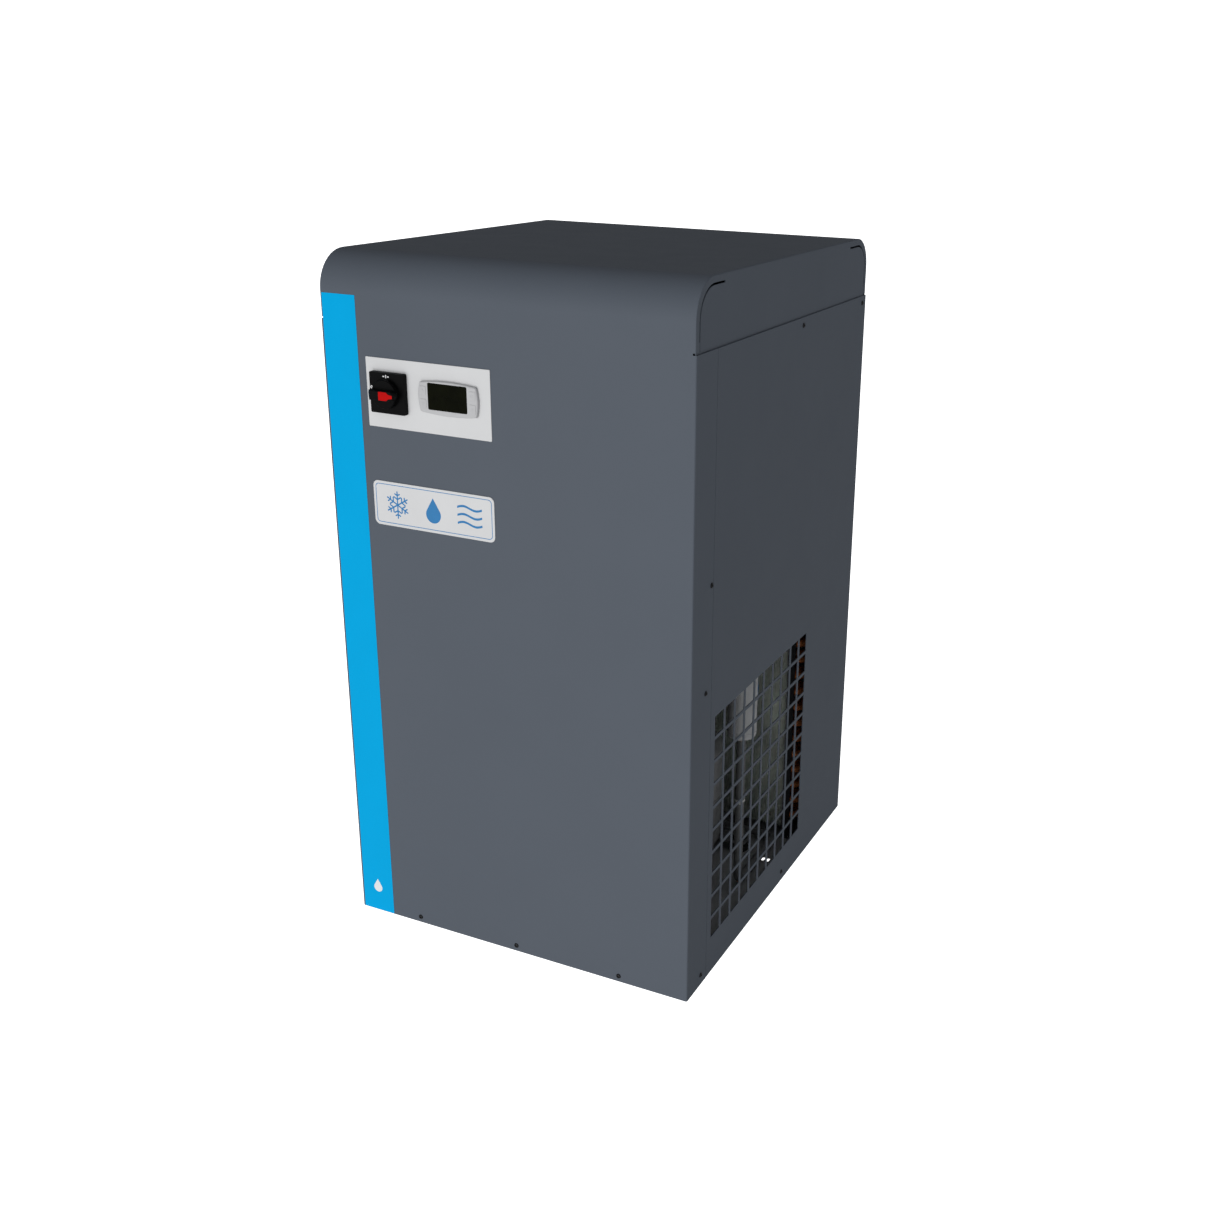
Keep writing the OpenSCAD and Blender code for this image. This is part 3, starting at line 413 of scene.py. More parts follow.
TERMINAL = material("terminal_plastic", (0.52, 0.49, 0.4), 0.45, grain=0.008, grain_mm=0.5)
ENAMEL = material("compressor_enamel", (0.15, 0.152, 0.156), 0.4, mottle_mm=25, dents=0.05, dents_mm=6,
                  coat=0.25)
IRON = material("cast_iron", (0.12, 0.118, 0.115), 0.6, 0.6, mottle=0.15, mottle_mm=12, dents=0.12,
                dents_mm=1.6)
RUBBER = material("rubber", (0.012, 0.012, 0.012), 0.75, grain=0.03, grain_mm=0.6)
ALUMINIUM = material("aluminium", (0.55, 0.56, 0.57), 0.4, 0.85, mottle=0.08, grain=0.006,
                     stretch=(1, 1, 0.05))
FIN = material("fin_stock", (0.72, 0.76, 0.71), 0.55, 0.2, mottle=0.2, mottle_mm=40, grain=0.01, grain_mm=1.5)
COPPER = material("copper", (0.52, 0.18, 0.065), 0.34, 0.7, mottle=0.25, mottle_mm=14, grain=0.005,
                  rough_swing=0.1)
SOLDER = material("brazing", (0.34, 0.28, 0.2), 0.4, 0.9, mottle=0.3, mottle_mm=4, dents=0.08, dents_mm=1.5)
BRASS = material("brass", (0.5, 0.34, 0.11), 0.34, 1.0, mottle=0.12, mottle_mm=12, grain=0.006, grain_mm=0.4)
MOTOR = material("motor_paint", (0.035, 0.038, 0.044), 0.45, grain=0.03, grain_mm=1.0)
FAN = material("fan_plastic", (0.014, 0.015, 0.017), 0.5, grain=0.015, grain_mm=0.6)
GUARD = material("guard_coat", (0.016, 0.017, 0.019), 0.4, mottle_mm=20, dents=0.02, dents_mm=2)
DRIER = material("drier_paint", (0.42, 0.425, 0.43), 0.4, mottle=0.05, dents=0.02, dents_mm=5)
SLEEVING = material("grey_sleeving", (0.12, 0.122, 0.125), 0.6, mottle=0.08, grain=0.01)
FOAM = material("foam", (0.024, 0.025, 0.026), 0.85, mottle=0.2, cells=0.5, cells_mm=2.5, dents=0.35,
                dents_mm=1.8)
NYLON = material("white_plastic", (0.68, 0.68, 0.66), 0.42, mottle=0.03, mottle_mm=15, grain=0.006)


# ---------- camera, light and floor ----------


def camera():
    lens = bpy.data.cameras.new("camera")
    lens.sensor_width = 36
    lens.lens = 40.733
    lens.shift_x = -0.0883
    lens.shift_y = -0.0302
    seen_by = bpy.data.objects.new("camera", lens)
    seen_by.location = (0.7367, -1.3646, 0.9172)
    seen_by.rotation_euler = (radians(71.003), radians(-1.1205), radians(24.452))
    bpy.context.scene.collection.objects.link(seen_by)
    bpy.context.scene.camera = seen_by


def light():
    """Soft key light from the front and a little to the left, in a plain pale surround."""
    sun = bpy.data.lights.new("key", "SUN")
    sun.energy = 1.83
    sun.angle = radians(50)
    key = bpy.data.objects.new("key", sun)
    key.rotation_euler = Vector((-0.1, -0.99, -0.1)).to_track_quat("Z", "Y").to_euler()
    bpy.context.scene.collection.objects.link(key)
    world = bpy.data.worlds.new("surround")
    bpy.context.scene.world = world
    world.use_nodes = True
    nodes, links = world.node_tree.nodes, world.node_tree.links
    shades = {"Is Camera Ray": 1.1, "Is Glossy Ray": 0.2}
    path = nodes.new("ShaderNodeLightPath")
    seen = nodes["Background"]
    seen.inputs["Color"].default_value = (0.93, 0.96, 1, 1)
    seen.inputs["Strength"].default_value = 0.325
    for ray, strength in shades.items():
        shade = nodes.new("ShaderNodeBackground")
        shade.inputs["Color"].default_value = (1, 1, 1, 1)
        shade.inputs["Strength"].default_value = strength
        mix = nodes.new("ShaderNodeMixShader")
        links.new(path.outputs[ray], mix.inputs["Fac"])
        links.new(seen.outputs[0], mix.inputs[1])
        links.new(shade.outputs[0], mix.inputs[2])
        seen = mix
    links.new(seen.outputs[0], world.node_tree.nodes["World Output"].inputs["Surface"])
    bpy.context.scene.view_settings.view_transform = "Standard"


def floor():
    """Pale floor that gives back some light of its own, so that it reads as white as the surround. It is darker
    in reflections."""
    shape = bmesh.new()
    bmesh.ops.create_circle(shape, cap_ends=True, segments=64, radius=12)
    mesh = mesh_of(shape)
    ob = bpy.data.objects.new("floor", mesh)
    bpy.context.scene.collection.objects.link(ob)
    made = bpy.data.materials.new("floor")
    made.use_nodes = True
    nodes, links = made.node_tree.nodes, made.node_tree.links
    shader = nodes["Principled BSDF"]
    shader.inputs["Base Color"].default_value = (0.8, 0.8, 0.8, 1)
    shader.inputs["Roughness"].default_value = 0.9
    shader.inputs["Specular IOR Level"].default_value = 0.1
    shader.inputs["Emission Color"].default_value = (1, 1, 1, 1)
    shader.inputs["Emission Strength"].default_value = 0.47
    path = nodes.new("ShaderNodeLightPath")
    glow = nodes.new("ShaderNodeEmission")
    glow.inputs["Strength"].default_value = 0.82
    lit = nodes.new("ShaderNodeMixShader")
    links.new(path.outputs["Is Camera Ray"], lit.inputs["Fac"])
    links.new(glow.outputs[0], lit.inputs[2])
    bright = nodes.new("ShaderNodeAddShader")
    links.new(shader.outputs[0], bright.inputs[0])
    links.new(lit.outputs[0], bright.inputs[1])
    share = nodes.new("ShaderNodeMath")
    share.operation = "MULTIPLY"
    share.inputs[1].default_value = 0.6
    links.new(path.outputs["Is Glossy Ray"], share.inputs[0])
    dark = nodes.new("ShaderNodeEmission")
    dark.inputs["Strength"].default_value = 0.0
    dimmed = nodes.new("ShaderNodeMixShader")
    links.new(share.outputs[0], dimmed.inputs["Fac"])
    links.new(bright.outputs[0], dimmed.inputs[1])
    links.new(dark.outputs[0], dimmed.inputs[2])
    links.new(dimmed.outputs[0], nodes["Material Output"].inputs["Surface"])
    mesh.materials.append(made)
    ob.visible_shadow = False


# ---------- cabinet ----------

HOOD_LO, HOOD_HI = span("hood")
PANEL_LO, PANEL_HI = span("right_side_panel")
REAR_LO, REAR_HI = span("rear_panel")
FRONT, BACK = HOOD_LO.y, PANEL_HI.y
SIDE = HOOD_HI.x
SEAM_LOW = PANEL_HI.z
SEAM_GAP = 2.0
SEAM_HIGH = SEAM_LOW + SEAM_GAP
ROLL_R, REAR_R = 39.5, 35.0
HOOD_SIDE = SIDE - 1
FLANGE = FRONT + 48.0
SCREW_R, HEAD_R, HEAD_H = 2.0, 2.8, 1.4
GRILLE_N, GRILLE_PITCH, GRILLE_HOLE = 10, 27.0, 23.0
GRILLE_Y, GRILLE_Z = FRONT + 59.2, 45.7
FAN_Z = 178.0
PORT_X, PORT_Z, SOCKET_R = (-70.0, 30.0), 640.0, 17.0


def screw_spots():
    """Heads of the cabinet's screws as (face, point on the face)."""
    front = [("front", (x, FRONT, 8)) for x in (-130.3, 0, 130.3)]
    side_yz = ((31.2, 686.5), (227.8, 687), (-197.5, 461), (-206.9, 348), (-206.4, 13.4), (29.5, 13.4))
    side = [("right", (SIDE, y, z)) for y, z in side_yz] + [("left", (-SIDE, y, z)) for y, z in side_yz]
    rear_xz = [(201, z) for z in (60, 250, 440, 630)] + [(120, 685), (100, 10)]
    rear = [("rear", (s * x, BACK, z)) for x, z in rear_xz for s in (-1, 1)]
    return {"hood_screws": front, "side_screws": side, "rear_screws": rear}


def screw():
    """Domed screw with a hexagon socket and a threaded shank, its head standing up from z 0."""
    dome = [(0, 0), (HEAD_R, 0), (HEAD_R, 0.35), (2.35, 0.95), (1.6, HEAD_H), (0, HEAD_H)]
    head = turned(dome, [0, 0.1, 0.2, 0.5, 0.2, 0], 3, 28)
    socket = plate(ring(1.3, steps=6), 1.4, 0.05, steps=1)
    head = combine(head, [put(socket, shift(0, 0, 0.5))])
    thread = [(0, -9)] + [(SCREW_R - 0.35 * (k % 2) - (0.5 if k < 2 else 0),
                           -9 + k * 0.45) for k in range(20)]
    shank = lathe([*thread, (SCREW_R, 0.1), (0, 0.1)], 20)
    joined = bmesh.new()
    for part in (head, shank):
        mesh = mesh_of(part)
        joined.from_mesh(mesh)
        bpy.data.meshes.remove(mesh)
    return joined


def screws():
    for node, spots in screw_spots().items():
        heads = copies(screw(), [on(face, at, 17 * i) for i, (face, at) in enumerate(spots)])
        piece(node + "_detail", [(heads, BLACK_STEEL)], [node])


def hood_outline(inset, low):
    """Side view of the hood as (y, z), shrunk by inset on its outer side and cut off at low."""
    y0, y1, top = FRONT + inset, BACK - inset, HOOD_HI.z - inset
    corners = [(y0, low), (y1, low), (y1, top), (y0, top)]
    return fillet(corners, [0, 0, REAR_R - inset, ROLL_R - inset], 12)


def relief_slot(tip, corner, r):
    """Outline of the slot that follows a rolled corner of the hood, from its tip down to the seam."""
    edges = []
    for inset in (7.2, 9.4):
        y = corner + inset if tip > corner else corner - inset
        top = HOOD_HI.z - inset
        edges.append(fillet([(tip, top), (y, top), (y, SEAM_HIGH - 5)], r - inset, 12, closed=False))
    return edges[0] + edges[1][::-1]


def hood():
    """Hood and front sheet, folded from one piece, with rolled edges, relief slots and return flanges."""
    across = 2 * HOOD_SIDE
    shell = put(plate(hood_outline(0, SEAM_HIGH - 10), across, 1.1, steps=3), on("right", (-HOOD_SIDE, 0, 0)))
    inside = hood_outline(SHEET, SEAM_HIGH - 20)
    hollow = put(plate(inside, across - 2 * SHEET, 0.3, steps=1), on("right", (SHEET - HOOD_SIDE, 0, 0)))
    seam = [block((-300, FRONT - 50, SEAM_LOW - 30), (300, BACK + 50, SEAM_LOW), 0.01, 1),
            block((-300, FRONT + SHEET, SEAM_LOW - 30), (300, BACK + 50, SEAM_HIGH), 0.01, 1),
            *[block((min(s * (SIDE - 4), s * 300), FRONT - 50, SEAM_LOW - 30),
                    (max(s * (SIDE - 4), s * 300), BACK + 50, SEAM_HIGH), 0.01, 1) for s in (-1, 1)]]
    slots = [relief_slot(FRONT + 63.1, FRONT, ROLL_R), relief_slot(FRONT + 417.6, BACK, REAR_R)]
    slots = [put(plate(line, across + 20, 0.05, steps=1),
                 on("right", (-HOOD_SIDE - 10, 0, 0))) for line in slots]
    shell = combine(shell, [hollow, *seam, *slots])
    lip = [(-SIDE, FLANGE - 0.6), (-SIDE, FRONT), (SIDE, FRONT), (SIDE, FLANGE - 0.6)]
    lip += [(x - (SHEET if x > 0 else -SHEET), y + (SHEET if y == FRONT else 0)) for x, y in lip[::-1]]
    channel = fillet(lip, [0, 1.8, 1.8, 0, 0, 0.6, 0.6, 0], 5)
    front = put(plate(channel, SEAM_LOW - HOOD_LO.z, 0.01, steps=1), on("top", (0, 0, HOOD_LO.z)))
    holes = [put(drum(SCREW_R + 0.1, 12, 0.01, 24), on("front", (x, FRONT + 6, z)))
             for _, (x, _, z) in screw_spots()["hood_screws"]]
    (sx, _, sz), (cx, _, cz) = centre_of("mains_switch_plate"), centre_of("controller_bezel")
    holes.append(put(drum(12, 12, 0.01), on("front", (sx, FRONT + 6, sz))))
    holes.append(block((cx - 33.3, FRONT - 5, cz - 14.2), (cx + 33.3, FRONT + 5, cz + 14.2), 0.01, 1))
    front = combine(front, holes)
    lip_z = SEAM_LOW - 20
    inner_lips = [block((s * (SIDE - 1.4) - (SHEET if s > 0 else 0), FRONT + 1.4, lip_z),
                        (s * (SIDE - 1.4) + (SHEET if s < 0 else 0), BACK - 3, lip_z + 31), 0.3)
                  for s in (-1, 1)]
    for x in (SIDE - 1.4 - SHEET, 1.4 - SIDE):
        inner_lips.append(block((x, BACK - 6, SEAM_LOW + 0.1), (x + SHEET, BACK - 0.2, lip_z + 31), 0.2, 1))
    rear_lip = block((-206, BACK - 2.6, lip_z), (206, BACK - 1.4, lip_z + 31), 0.3)
    piece("hood_sheet", [(s, POWDER) for s in (shell, front, *inner_lips, rear_lip)], ["hood"])


def side_panels():
    """Side sheets with their joggled front lips and rear flanges. The right one carries the air grille."""
    for name, face, s in (("right_side_panel", "right", 1), ("left_side_panel", "left", -1)):
        holes = [ring(SCREW_R + 0.1, (s * at[1], at[2]), 20)
                 for f, at in screw_spots()["side_screws"] if f == face and at[1] > FLANGE]
        if s > 0:
            cells = [(GRILLE_Y + i * GRILLE_PITCH, GRILLE_Z + j * GRILLE_PITCH)
                     for i in range(GRILLE_N) for j in range(GRILLE_N)]
            holes += [rectangle(GRILLE_HOLE, GRILLE_HOLE, 0.6, (y + GRILLE_HOLE / 2, z + GRILLE_HOLE / 2), 3)
                      for y, z in cells]
        y0 = FLANGE
        outline = rectangle(BACK - y0, SEAM_LOW - PANEL_LO.z, 0,
                            (s * (BACK + y0) / 2, (SEAM_LOW + PANEL_LO.z) / 2))
        sheet = put(plate(outline, SHEET, 0.22, holes), on(face, (s * (SIDE - SHEET), 0, 0)))
        x0, x1 = s * (SIDE - 1.4 - SHEET), s * (SIDE - 1.4)
        lip = block((min(x0, x1), FRONT + 18, 26), (max(x0, x1), y0 + 4, SEAM_LOW - 26), 0.3)
        rx = sorted((s * 190, s * (SIDE - 0.4)))
        flange = block((rx[0], BACK - 2.6, 26), (rx[1], BACK - 1.4, SEAM_LOW - 26), 0.3)
        piece(name + "_sheet", [(p, POWDER) for p in (sheet, lip, flange)], [name])


def rear_panel():
    holes = [ring(SCREW_R + 0.1, (-x, z), 20) for _,
             (x, _, z) in screw_spots()["rear_screws"] if z < SEAM_LOW]
    holes.append(ring(131, (0, FAN_Z), 96))
    holes += [ring(SOCKET_R + 2, (-x, PORT_Z), 48) for x in PORT_X]
    for node, r in (("cable_gland", 8.2), ("drain_outlet_fitting", 7.2)):
        middle = centre_of(node)
        holes.append(ring(r, (-middle.x, middle.z), 40))
    outline = rectangle(REAR_HI.x - REAR_LO.x, REAR_HI.z - REAR_LO.z, 0, (0, (REAR_LO.z + REAR_HI.z) / 2))
    sheet = put(plate(outline, SHEET, 0.25, holes), on("rear", (0, BACK - SHEET, 0)))
    piece("rear_panel_sheet", [(sheet, POWDER)], ["rear_panel"])


# ---------- front trim and controls ----------


def droplet(height, at):
    """Outline of a water drop whose round part is centred on a point."""
    r = 0.34 * height
    reach = height - r
    start = pi / 2 - acos(r / reach)
    line = [Vector((at[0], at[1] + reach))]
    for k in range(29):
        a = start - (pi + 2 * start) * k / 28
        line.append(Vector((at[0] + r * cos(a), at[1] + r * sin(a))))
    return line


def snowflake(size, at):
    """Outlines of the bars of a six-armed crystal with two pairs of barbs on each arm."""
    arm, w = size / 2, 0.05 * size
    bars = []
    for k in range(6):
        turn = Matrix.Rotation(radians(60 * k + 90), 2)
        lines = [((0, 0), 0, arm)]
        for root, length in ((0.42 * arm, 0.34 * arm), (0.7 * arm, 0.24 * arm)):
            lines += [((root, 0), s * 60, length) for s in (-1, 1)]
        for start, lean, length in lines:
            lean = Matrix.Rotation(radians(lean), 2)
            corners = ((0, -w / 2), (length, -w / 2), (length + w / 2, 0), (length, w / 2), (0, w / 2))
            bars.append([Vector(at) + turn @ (Vector(start) + lean @ Vector(c)) for c in corners])
    return bars


def wave(length, swing, width, at):
    """Outline of a ribbon that waves once over its length."""
    rise = [(length * (k / 24 - 0.5), swing * sin(2 * pi * k / 24)) for k in range(25)]
    line = [Vector((at[0] + x, at[1] + y - width / 2)) for x, y in rise]
    return line + [Vector((at[0] + x, at[1] + y + width / 2)) for x, y in rise[::-1]]


def printed(outline, face_y, height=0.06, holes=()):
    """Thin printed or moulded mark on a front face at the depth face_y."""
    return put(plate(outline, height, 0.015, holes, 1), on("front", (0, face_y, 0)))


def colour_strip():
    lo, hi = span("colour_strip")
    middle = (lo + hi) / 2
    film = rectangle(hi.x - lo.x, hi.z - lo.z, 0.8, (middle.x, middle.z))
    parts = [(put(plate(film, hi.y - lo.y, 0.08), on("front", (0, hi.y, 0))), BLUE)]
    parts.append((printed(droplet(17, (middle.x, lo.z + 30)), lo.y), PRINT_WHITE))
    piece("colour_strip_film", parts, ["colour_strip"])


def fascia():
    lo, hi = span("control_fascia")
    middle = (lo + hi) / 2
    (sx, _, sz), (cx, _, cz) = centre_of("mains_switch_plate"), centre_of("controller_bezel")
    holes = [ring(12, (sx, sz)), rectangle(66.6, 28.4, 0.5, (cx, cz))]
    outline = rectangle(hi.x - lo.x, hi.z - lo.z, 0.9, (middle.x, middle.z))
    film = put(plate(outline, hi.y - lo.y, 0.18, holes), on("front", (0, hi.y, 0)))
    piece("fascia_film", [(film, WHITE)], ["control_fascia"])


def badge():
    """Plain badge with three pictograms: cold, water and dry air."""
    lo, hi = span("badge_plate")
    middle = (lo + hi) / 2
    w, h = hi.x - lo.x, hi.z - lo.z
    at = (middle.x, middle.z)
    parts = [(put(plate(rectangle(w, h, 6, at, 6), hi.y - lo.y, 0.2), on("front", (0, hi.y, 0))), WHITE)]
    frame_line = [rectangle(w - 7, h - 7, 3.6, at, 6)]
    parts.append((printed(rectangle(w - 5.6, h - 5.6, 4.2, at, 6), lo.y, holes=frame_line), PRINT_BLUE))
    for i, bar in enumerate(snowflake(29, (at[0] - 0.3 * w, at[1]))):
        parts.append((printed(bar, lo.y, 0.05 + 0.0006 * i), PRINT_BLUE))
    parts.append((printed(droplet(27, (at[0], at[1] - 4.5)), lo.y), PRINT_BLUE))
    for row in (-1, 0, 1):
        parts.append((printed(wave(30, 1.8, 2.4, (at[0] + 0.3 * w, at[1] + 8.5 * row)), lo.y), PRINT_BLUE))
    piece("badge", parts, ["badge_plate"])


def mains_switch():
    """Square plate, and a round knob with a raised grip and a red insert."""
    centre = centre_of("mains_switch_plate")
    x, z = centre.x, centre.z
    lo, hi = span("mains_switch_plate")
    w, cut = hi.x - lo.x, 1.0
    corners = [(sx * a, sz * b) for sx, sz, (a, b) in (
        (-1, -1, (w / 2, w / 2 - cut)), (-1, -1, (w / 2 - cut, w / 2)), (1, -1, (w / 2 - cut, w / 2)),
        (1, -1, (w / 2, w / 2 - cut)), (1, 1, (w / 2, w / 2 - cut)), (1, 1, (w / 2 - cut, w / 2)),
        (-1, 1, (w / 2 - cut, w / 2)), (-1, 1, (w / 2, w / 2 - cut)))]
    back = put(plate(corners, hi.y - lo.y, 0.2, [ring(4.06)]), on("front", (x, hi.y, z)))
    top, left = (x - 0.4, z + 17.2), (x - 18.6, z + 5)
    marks = [printed(rectangle(1.2, 3.4, 0, top), lo.y),
             *[printed(rectangle(2.2, 1.2, 0, (top[0] + s * 2.8, top[1])), lo.y) for s in (-1, 1)],
             printed(ring(1.6, left, 28), lo.y, holes=[ring(0.6, left, 28)])]
    piece("switch_front_plate", [(back, BLACK), *[(m, PRINT_WHITE) for m in marks]],
          ["mains_switch_plate"])
    knob_lo, knob_hi = span("mains_switch_knob")
    reach, end, r = knob_hi.y - knob_lo.y, (knob_hi.x - knob_lo.x) / 2, 15.2
    base_h, grip = reach - 7.2, 5.5
    body = lathe(fillet([(4, 0), (r, 0), (r - 0.5, base_h), (4, base_h)], [0, 0.3, 1.0, 0], 4), 64)
    bar = fillet([(-end, -grip), (0, -grip + 0.9), (end, -grip), (end, grip), (0, grip - 0.9), (-end, grip)],
                 [grip - 0.6, 30, grip - 0.6, grip - 0.6, 30, grip - 0.6], 7)
    bar = put(plate(bar, 8.2, 1.1, steps=4), shift(0, 0, base_h - 1))
    side = [(-end - 1, base_h - 1.5), (end + 1, base_h - 1.5), (end + 1, reach - 0.02),
            (5.8 - end, reach - 0.02),
            (-end - 1, base_h)]
    side = plate(fillet(side, [0, 0, 0, 2.5, 0], 5), 2 * grip + 4, 0.01, steps=1)
    bar = combine(bar, [put(side, on("front", (0, grip + 2, 0)))], "INTERSECT")
    ribs = [put(block((-0.5, r - 0.9, 0.9), (0.5, r + 0.12, base_h - 1.2), 0.2, 1),
                Matrix.Rotation(radians(a), 4, "Z"))
            for a in range(0, 360, 15) if 25 < a % 180 < 155]
    place = on("front", (x, knob_hi.y, z))
    piece("switch_knob_grip", [(put(s, place), BLACK) for s in (body, bar, *ribs)],
          ["mains_switch_knob"], body="switch_knob")
    arrow = fillet([(-0.5, -4.4), (9, -4.4), (12, -2.2), (16.4, -1.6), (16.4, 1.6), (12, 2.2), (9, 4.4),
                    (-0.5, 4.4)],
                   [0.5, 0.8, 1.5, 0.9, 0.9, 1.5, 0.8, 0.5], 3)
    insert = put(plate(arrow, 1.65, 0.2), on("front", (x, knob_lo.y + 1.5, z)))
    piece("switch_pointer_insert", [(insert, RED)], ["mains_switch_pointer"],
          body="switch_knob")


def bezel_outline(w, h, tall=242, wide=52, steps=180):
    """Outline bounded by four shallow arcs: for each direction, the nearest of them."""
    arcs = [(Vector((0, h / 2 - tall)), tall), (Vector((0, tall - h / 2)), tall),
            (Vector((w / 2 - wide, 0)), wide), (Vector((wide - w / 2, 0)), wide)]
    line = []
    for k in range(steps):
        way = Vector((cos(2 * pi * k / steps), sin(2 * pi * k / steps)))
        line.append(way * min(c.dot(way) + (r * r - c.length_squared + c.dot(way) ** 2) ** 0.5 for c,
                              r in arcs))
    return line


def controller():
    """Flush controller: bezel, dark display and four keys with small moulded signs."""
    lo, hi = span("controller_bezel")
    centre = (lo + hi) / 2
    glass_lo, glass_hi = span("controller_window")
    glass = (glass_lo + glass_hi) / 2
    gw, gh = glass_hi.x - glass_lo.x, glass_hi.z - glass_lo.z
    keys = {n: span("key_" + n) for n in ("upper_left", "lower_left", "upper_right", "lower_right")}
    holes = [rectangle(gw + 0.3, gh + 0.3, 1.6, (glass.x - centre.x, glass.z - centre.z))]
    for a, b in keys.values():
        holes.append(rectangle(b.x - a.x + 0.16, b.z - a.z + 0.16, 1.15,
                               ((a.x + b.x) / 2 - centre.x, (a.z + b.z) / 2 - centre.z)))
    ring_plate = plate(bezel_outline(hi.x - lo.x, hi.z - lo.z), hi.y - lo.y, 1.5, steps=5)
    cutters = [put(plate(hole, 20, 0.01, steps=1), shift(0, 0, -5)) for hole in holes]
    ring_plate = combine(ring_plate, cutters)
    piece("controller_frame",
          [(put(ring_plate, on("front", (centre.x, hi.y, centre.z))), GREY)], ["controller_bezel"])
    pane = put(plate(rectangle(gw, gh, 1.5, (glass.x, glass.z)), glass_hi.y - glass_lo.y, 0.3, steps=3),
               on("front", (0, glass_hi.y, 0)))
    piece("controller_display", [(pane, WINDOW)], ["controller_window"])
    signs = {
        "upper_left": [ring(1.7, steps=3, start=pi / 2)],
        "lower_left": [ring(1.7, steps=3, start=-pi / 2)],
        "upper_right": [ring(1.7, steps=28), ring(1.15, steps=28)],
        "lower_right": [rectangle(2.8, 0.8)],
    }
    for name, (a, b) in keys.items():
        x, z = (a.x + b.x) / 2, (a.z + b.z) / 2
        cap = plate(rectangle(b.x - a.x, b.z - a.z, 1.1), b.y - a.y, 0.15, steps=2)
        sign = put(plate(signs[name][0], 0.2, 0.05, signs[name][1:], 1), shift(0, 0, b.y - a.y))
        place = on("front", (x, b.y, z))
        piece(f"{name}_key_cap", [(put(cap, place), GREY), (put(sign, place), GREY)],
              ["key_" + name], body=f"{name}_key")


# ---------- condenser and fan ----------

COIL_LO, COIL_HI = span("condenser_fins")
ROWS = ((COIL_LO.y + COIL_HI.y) / 2 - 11, (COIL_LO.y + COIL_HI.y) / 2 + 11)
LEVELS = [49 + 21.5 * i for i in range(13)]
COIL_R, COIL_END = 4.76, 189.5


def hexagon(r, h, edge=0.4, holes=()):
    return plate(ring(r, steps=6), h, edge, holes)


def sleeve(at, way, r, length, swell=0.7):
    """Brazed joint: a short cup with a bead of solder at its mouth."""
    line = [(r, 0), (r + swell, 0.4), (r + swell, length - 1.5), (r + 1.3 * swell, length - 0.9), (r, length)]
    return put(turned(line, [0, 0.2, 0.4, 0.3, 0], 3, 24), aim(at, way))


def condenser():
    depth, tall = COIL_HI.y - COIL_LO.y, COIL_HI.z - COIL_LO.z
    folds = [(0.45 * (-1) ** k, depth * k / 14) for k in range(15)]
    fin = plate([(x - 0.11, y) for x, y in folds] + [(x + 0.11, y) for x, y in folds[::-1]], tall, 0.02,
                steps=1)
    count = 149
    places = [shift(COIL_LO.x + 0.6 + (COIL_HI.x - COIL_LO.x - 1.2) * i / (count - 1), COIL_LO.y, COIL_LO.z)
              for i in range(count)]
    piece("condenser_fin_pack", [(copies(fin, places), FIN)], ["condenser_fins"], 20)
    front, back = ROWS
    parts, last = [], len(LEVELS) - 1
    for i, z in enumerate(LEVELS):
        hairpin = [(-COIL_END, front, z), (COIL_END + 11, front, z), (COIL_END + 11, back, z),
                   (-COIL_END, back, z)]
        parts.append((tube(hairpin, COIL_R, 10.95, 18, 8), COPPER))
        if i < last:
            y = ROWS[(i + last) % 2]
            over = LEVELS[i + 1]
            turn = [(-COIL_END + 3, y, z), (-COIL_END - 10.75, y, z), (-COIL_END - 10.75, y, over),
                    (-COIL_END + 3, y, over)]
            parts.append((tube(turn, COIL_R, 10.7, 18, 8), COPPER))
            parts += [(sleeve((-COIL_END + 1, y, level), (-1, 0, 0), COIL_R, 5), SOLDER)
                      for level in (z, over)]
    piece("condenser_hairpins", parts, ["condenser_tubes"])
    parts = []
    lo, hi = span("condenser_end_plates")
    for s, face in ((1, "right"), (-1, "left")):
        holes = [ring(5.1, (s * y, z), 24) for y in ROWS for z in LEVELS]
        outline = rectangle(hi.y - lo.y, hi.z - lo.z - 8, 0.8, (s * (lo.y + hi.y) / 2, (hi.z + lo.z + 8) / 2))
        parts.append((put(plate(outline, 1.5, 0.15, holes, 1), on(face, (s * 186, 0, 0))), ZINC))
        foot = [(186, lo.z + 8), (186, lo.z), (203, lo.z), (203, lo.z + 1.5), (187.5, lo.z + 1.5),
                (187.5, lo.z + 8)]
        foot = fillet([(s * x, z) for x, z in foot], [0, 2, 0.5, 0.5, 0.6, 0], 4)
        parts.append((put(plate(foot, hi.y - lo.y, 0.15, steps=1), on("front", (0, hi.y, 0))), ZINC))
        for y in (lo.y + 10, hi.y - 10):
            parts.append((put(hexagon(4.2, 3, 0.4), shift(s * 196.5, y, lo.z + 1.5)), ZINC))
    # Front flange on the end plates that hides part of the return bends. Its black paint is painted shade: it
    # stands in for the shadow in the gap between the coil face and the bends.
    guard = [(187, lo.y), (196, lo.y), (196, lo.y + 1.5), (187, lo.y + 1.5)]
    parts.append((put(plate(guard, hi.z - lo.z - 1.6, 0.2), shift(0, 0, lo.z + 1.6)), BLACK_STEEL))
    piece("condenser_brackets", parts, ["condenser_end_plates"])


